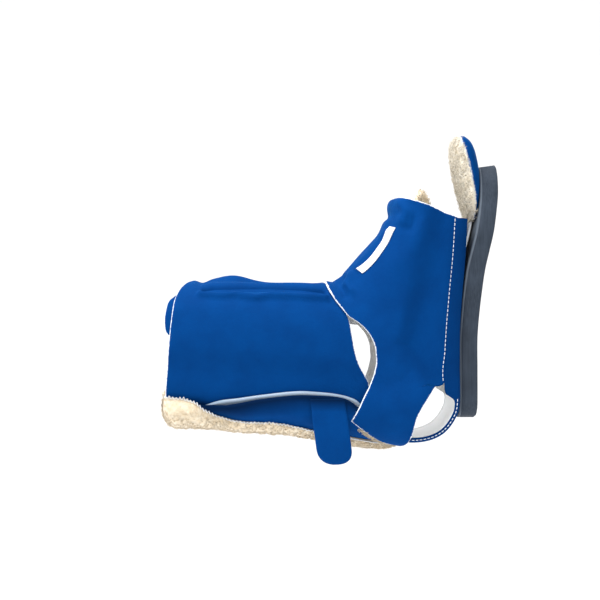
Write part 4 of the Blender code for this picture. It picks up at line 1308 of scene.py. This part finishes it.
def dashes(path, outward, stitch, gap):
    """Stitches along a path that lies on the cloth. outward is the cloth's normal at each point."""
    fine, at = resample(path, 0.25 * mm)
    normal = between(np.linspace(0, 1, len(fine)), np.linspace(0, 1, len(path)), outward)
    paths = []
    for start in np.arange(0, at[-1] - stitch, stitch + gap):
        spots = start + stitch * np.array((0.0, 0.12, 0.5, 0.88, 1.0))
        height = thread_radius * np.array((-1.2, 0.5, 1.0, 0.5, -1.2))
        picks = np.clip(np.searchsorted(at, spots), 0, len(at) - 1)
        paths.append(fine[picks] + normal[picks] * height[:, None])
    return np.array(paths)


def overlock(path, aside, outward, pitch, reach):
    """One thread to and fro over an edge. aside points across it, outward away from the cloth."""
    fine, _ = resample(path, pitch)
    share, old = np.linspace(0, 1, len(fine)), np.linspace(0, 1, len(path))
    across, normal = between(share, old, aside), between(share, old, outward)
    side = np.where(np.arange(len(fine)) % 2, 1.0, -0.55)[:, None]
    jitter = 1 + 0.35 * np.sin(np.arange(len(fine)) * 2.4)[:, None]
    return fine + across * side * reach * jitter + normal * 0.35 * mm


def surface_tree(piece):
    """A piece's faces in a form that can be searched quickly."""
    corners = [v.co for v in piece.data.vertices]
    return BVHTree.FromPolygons(corners, [tuple(face.vertices) for face in piece.data.polygons])


def land(piece, points):
    """The nearest places on a piece, and the way its surface looks there."""
    tree = surface_tree(piece)
    found = [tree.find_nearest(Vector(point))[:2] for point in points]
    return np.array([f[0] for f in found]), np.array([f[1] for f in found])


def lay_from_side(piece, points):
    """Where lines along Y from outside the boot first meet a piece, and its normals there."""
    tree = surface_tree(piece)
    spots, normals = [], []
    for point in points:
        side = math.copysign(1.0, point[1])
        beside = Vector((point[0], side * 0.3, point[2]))
        spot, normal, _, _ = tree.ray_cast(beside, Vector((0, -side, 0)))
        if spot is not None:
            spots.append(spot)
            normals.append(normal if normal.y * side > 0 else -normal)
    return np.array(spots), np.array(normals)


# %% Sole seam and heel rim
seam_inset, seam_stitch, seam_stitch_gap = 2.6 * mm, 2.6 * mm, 1.9 * mm
rim_inset, rim_stitch, rim_stitch_gap = 3.0 * mm, 2.4 * mm, 1.7 * mm
seam_places = np.linspace(12.34, 17.3, 124)
near_seam = wall_point(seam_places, seam_turn(seam_places), wrap_thickness)
near_seam = near_seam - np.array((seam_inset, 0, 0))
seam_stitches = []
for piece, path in ((foot_near, near_seam), (foot_far, mirrored(near_seam))):
    on_cloth, normal = lay_from_side(piece, path)
    seam_stitches.append(dashes(on_cloth + normal * 0.15 * mm, normal, seam_stitch, seam_stitch_gap))
seam_stitches = np.concatenate(seam_stitches)
stitch_radii = np.full(5, thread_radius)
tubes("sole_seam_stitches", seam_stitches, stitch_radii, 6, thread)

rim_places = np.linspace(8.8, 12.15, 90)
foot, out, _ = sole_frame(rim_places)
rim_side = sleeve_half_width(rim_places) + sleeve_thickness + 0.05 * mm
rim_path = foot + out * (sleeve_outer - rim_inset) - np.array((0, 1.0, 0)) * rim_side[:, None]
rim_out = np.tile(np.array((0, -1.0, 0)), (len(rim_places), 1))
rim_stitches = dashes(rim_path, rim_out, rim_stitch, rim_stitch_gap)
tubes("heel_rim_stitches", np.concatenate((rim_stitches, mirrored(rim_stitches))), stitch_radii, 6,
      thread)
print("stitches:", len(seam_stitches), "on the sole seam,", 2 * len(rim_stitches), "on the heel rim")

# %% Overlock round the pads
pad_thread_radius, toe_thread_radius = 0.55 * mm, 0.42 * mm
pad_overlocks = []
for column, inner_column, side in ((-1, -4, 1.0), (0, 3, -1.0)):
    rim = pad_fleece_grid[:, column]
    places = np.linspace(fleece_first, fleece_last, len(rim))
    turns = side * (read_rows(FLEECE_RIM, places)[:, 0] + 0.6)
    normal = wall_normal(places, turns)
    proud = room_point(places, turns) + normal * (fleece_low(places, turns) + 1.6 * mm)[:, None]
    aside = proud - pad_fleece_grid[:, inner_column]
    aside -= normal * np.sum(aside * normal, axis=-1, keepdims=True)
    aside /= np.linalg.norm(aside, axis=-1, keepdims=True)
    pad_overlocks.append(overlock(proud, aside, normal, pitch=1.9 * mm, reach=2.1 * mm))
for number, path in enumerate(pad_overlocks):
    tubes(f"calf_pad_overlock_{number + 1}", path[None], np.full(len(path), pad_thread_radius), 5,
          thread)

seam_rows = np.linspace(0.02, 0.985, 90)
side_half = toe_pad_half_width * read_rows(TOE_PAD, seam_rows)[:, 3]
side_z = pad_bottom + toe_pad_height * seam_rows
near_side = np.column_stack((outsole_inner(side_z) - seam_depth(side_z), -side_half, side_z))
over_top = np.linspace(-1, 1, 60)[1:-1]
top_line = np.column_stack((np.full(len(over_top), near_side[-1, 0]), over_top * side_half[-1],
                            np.full(len(over_top), pad_bottom + toe_pad_height)))
toe_line = np.concatenate((near_side, top_line, mirrored(near_side[::-1])))
toe_line, _ = resample(toe_line, 1.2 * mm)
landed, facing = land(toe_pad, toe_line)
along = np.gradient(landed, axis=0)
aside = np.cross(facing, along)
aside /= np.linalg.norm(aside, axis=-1, keepdims=True)
toe_overlock = overlock(landed, aside, facing, pitch=1.6 * mm, reach=1.0 * mm)
tubes("toe_pad_overlock", toe_overlock[None], np.full(len(toe_overlock), toe_thread_radius), 4,
      thread)
print("overlock threads:", len(pad_overlocks) + 1)

# %% [markdown]
# ## Fleece curls
# Noise on a surface gives lumps, but the outline of real fleece is ragged. So short curled fibres
# are planted on it. They are drawn at random from a fixed seed, which makes every run the same,
# and all fibres of one pad are one mesh. The cut at the ankle strap's lower end is fuzzy too, with
# longer fibres.

# %% Plant curls
dice = np.random.default_rng(41)
curl_radius = 0.30 * mm
# up, over and sideways, each as a share of the fibre's size
CURL = ((-0.25, 0.0, 0.0), (0.42, 0.22, 0.10), (0.70, 0.62, 0.45), (0.52, 1.0, 0.9), (0.16, 0.95, 1.0))


def curls(name, roots, outward, length, material=fleece):
    """A curled fibre on each root: up, over and back down."""
    count = len(roots)
    outward = outward / np.linalg.norm(outward, axis=-1, keepdims=True)
    aside = np.cross(outward, dice.normal(size=(count, 3)))
    aside /= np.linalg.norm(aside, axis=-1, keepdims=True)
    third = np.cross(outward, aside)
    size = length * dice.uniform(0.6, 1.25, (count, 1))
    bend = dice.uniform(-0.6, 0.6, (count, 1))
    points = [roots + outward * size * up + aside * size * over * 0.8 + third * size * bend * curl
              for up, over, curl in CURL]
    radii = curl_radius * np.array((1.0, 0.95, 0.85, 0.7, 0.35))
    return tubes(name, np.stack(points, axis=1), radii, 3, material)


def on_grid(grid, count):
    """Random places on a grid of points, with the surface's own normals."""
    normals = np.cross(np.gradient(grid, axis=0), np.gradient(grid, axis=1))
    normals /= np.linalg.norm(normals, axis=-1, keepdims=True) + 1e-12
    i = dice.integers(0, grid.shape[0] - 1, count)
    j = dice.integers(0, grid.shape[1] - 1, count)
    u, v = dice.random((count, 1)), dice.random((count, 1))
    place = (grid[i, j] * (1 - u) * (1 - v) + grid[i + 1, j] * u * (1 - v)
             + grid[i, j + 1] * (1 - u) * v + grid[i + 1, j + 1] * u * v)
    return place, normals[i, j]


def facing_out(normals, reference):
    """Turn normals so that they look the same way as the reference."""
    return normals * np.sign(np.sum(normals * reference, axis=-1, keepdims=True) + 1e-9)


def curls_on_grid(name, grid, reference, count, length):
    """Curls all over a grid, on the side that looks the way of the reference."""
    roots, normals = on_grid(grid, count)
    return curls(name, roots, facing_out(normals, reference), length)


curls_on_grid("calf_pad_curls", pad_fleece_grid, np.array((0.0, 0.0, -1.0)), 6500, 2.3 * mm)
end_curls = 700
end_picks = dice.integers(0, pad_fleece_grid.shape[1], end_curls)
curls("calf_pad_end_curls", pad_fleece_grid[0, end_picks],
      np.array((-1.0, 0.0, -0.35)) + 0.4 * dice.normal(size=(end_curls, 3)), 2.0 * mm)
curls_on_grid("calf_liner_curls", liner_grid, np.array((0.0, 0.0, 1.0)), 2200, 2.2 * mm)
curls_on_grid("forefoot_curls", forefoot_grid, np.array((0.0, -1.0, 0.0)), 1500, 2.4 * mm)

toe_curls = 3800
toe_polygons = toe_pad.data.polygons
fleece_faces = [number for number, face in enumerate(toe_polygons) if face.material_index == 0]
picks = dice.choice(fleece_faces, toe_curls)
face_centres = np.array([toe_polygons[int(k)].center for k in picks])
face_normals = np.array([toe_polygons[int(k)].normal for k in picks])
curls("toe_pad_curls", face_centres + dice.normal(size=(toe_curls, 3)) * 0.7 * mm, face_normals,
      2.8 * mm, material=toe_fleece_pale_and_painted_light)
print("curls planted")

# %% Fuzz under the ankle strap's cut
fuzz_count = 900
place, turn, _ = panel(FOOT_NEAR)
fuzzy = slice(int(0.22 * place.shape[1]), int(0.72 * place.shape[1]))
base, normal = room_point(place, turn), wall_normal(place, turn)
under = base + normal * foot_near_lift(place, turn)[..., None]
cut_row, inner_row = under[0, fuzzy], under[len(border) - 1, fuzzy]
past_cut = cut_row - inner_row
past_cut /= np.linalg.norm(past_cut, axis=-1, keepdims=True)
picks = dice.integers(0, len(past_cut), fuzz_count)
inset = dice.uniform(-1.0, 2.5, (fuzz_count, 1)) * mm
fuzz_roots = cut_row[picks] - past_cut[picks] * inset - normal[0, fuzzy][picks] * 0.4 * mm
fuzz_way = past_cut[picks] + 0.35 * dice.normal(size=(fuzz_count, 3))
curls("ankle_strap_fuzz", fuzz_roots, fuzz_way, 4.2 * mm)

# %% [markdown]
# ## The bar and its strap
# These two keep the CAD model's own shapes, which are right: flat bent strips. They only get
# their finishes.

# %% Finish of the CAD pieces that stay
for node, material in (("toe_bar", aluminium), ("toe_bar_strap", webbing)):
    for material_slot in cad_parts[node].material_slots:
        material_slot.material = material
print("kept CAD pieces: toe_bar and toe_bar_strap")

# %% [markdown]
# ## Floor and light
# A pale floor that sweeps up into a backdrop, so that no horizon cuts the photograph's view. The
# light is a bright even studio: a white world, a large soft lamp above, which brightens the cloth
# where it turns up, and two weaker ones at the left and in front.

# %% Floor and light
floor_z, floor_front, floor_half_width = -0.42, -1.9, 3.0
sweep_start, sweep_radius, wall_top = 1.6, 1.2, 2.78
sweep = []
for step in range(13):
    angle = math.radians(90 * step / 12)
    sweep.append((sweep_start + sweep_radius * math.sin(angle),
                  floor_z + sweep_radius * (1 - math.cos(angle))))
profile = [(floor_front, floor_z), (0.0, floor_z), *sweep, (sweep_start + sweep_radius, wall_top)]
floor_points = [(x, y, z) for y, z in profile for x in (-floor_half_width, floor_half_width)]
floor_faces = [(2 * i, 2 * i + 1, 2 * i + 3, 2 * i + 2) for i in range(len(profile) - 1)]
floor_mesh = bpy.data.meshes.new("floor")
floor_mesh.from_pydata(floor_points, [], floor_faces)
floor_mesh.shade_smooth()
floor_paint, shader = start_material("pale_floor", 0.9)
shader.inputs["Base Color"].default_value = (0.95, 0.95, 0.95, 1.0)
shader.inputs["Specular IOR Level"].default_value = 0.0
floor_mesh.materials.append(floor_paint)
floor = bpy.data.objects.new("floor", floor_mesh)
bpy.context.scene.collection.objects.link(floor)
floor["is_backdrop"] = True

world = bpy.data.worlds.new("studio")
world.use_nodes = True
background = world.node_tree.nodes["Background"]
background.inputs["Color"].default_value = (1.0, 1.0, 1.0, 1.0)
background.inputs["Strength"].default_value = 0.78
bpy.context.scene.world = world


def soft_lamp(name, place, aim, size, power):
    """A square area lamp that looks at a point."""
    lamp = bpy.data.lights.new(name, "AREA")
    lamp.shape = "SQUARE"
    lamp.size = size
    lamp.energy = power
    holder = bpy.data.objects.new(name, lamp)
    holder.location = place
    holder.rotation_euler = (Vector(aim) - Vector(place)).to_track_quat("-Z", "Y").to_euler()
    bpy.context.scene.collection.objects.link(holder)


soft_lamp("top_lamp", (-0.25, -0.30, 1.6), (0.16, 0.0, 0.05), 1.0, 42.0)
soft_lamp("left_lamp", (-1.9, -0.7, 0.5), (0.2, 0.0, 0.05), 1.2, 13.0)
soft_lamp("front_lamp", (0.1, -2.2, 0.5), (0.16, 0.0, 0.03), 1.6, 8.0)

# %% Print the sizes and finish
low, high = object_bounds()
print("dressed box in mm:", [round(v / mm, 1) for v in (*low, *high)])
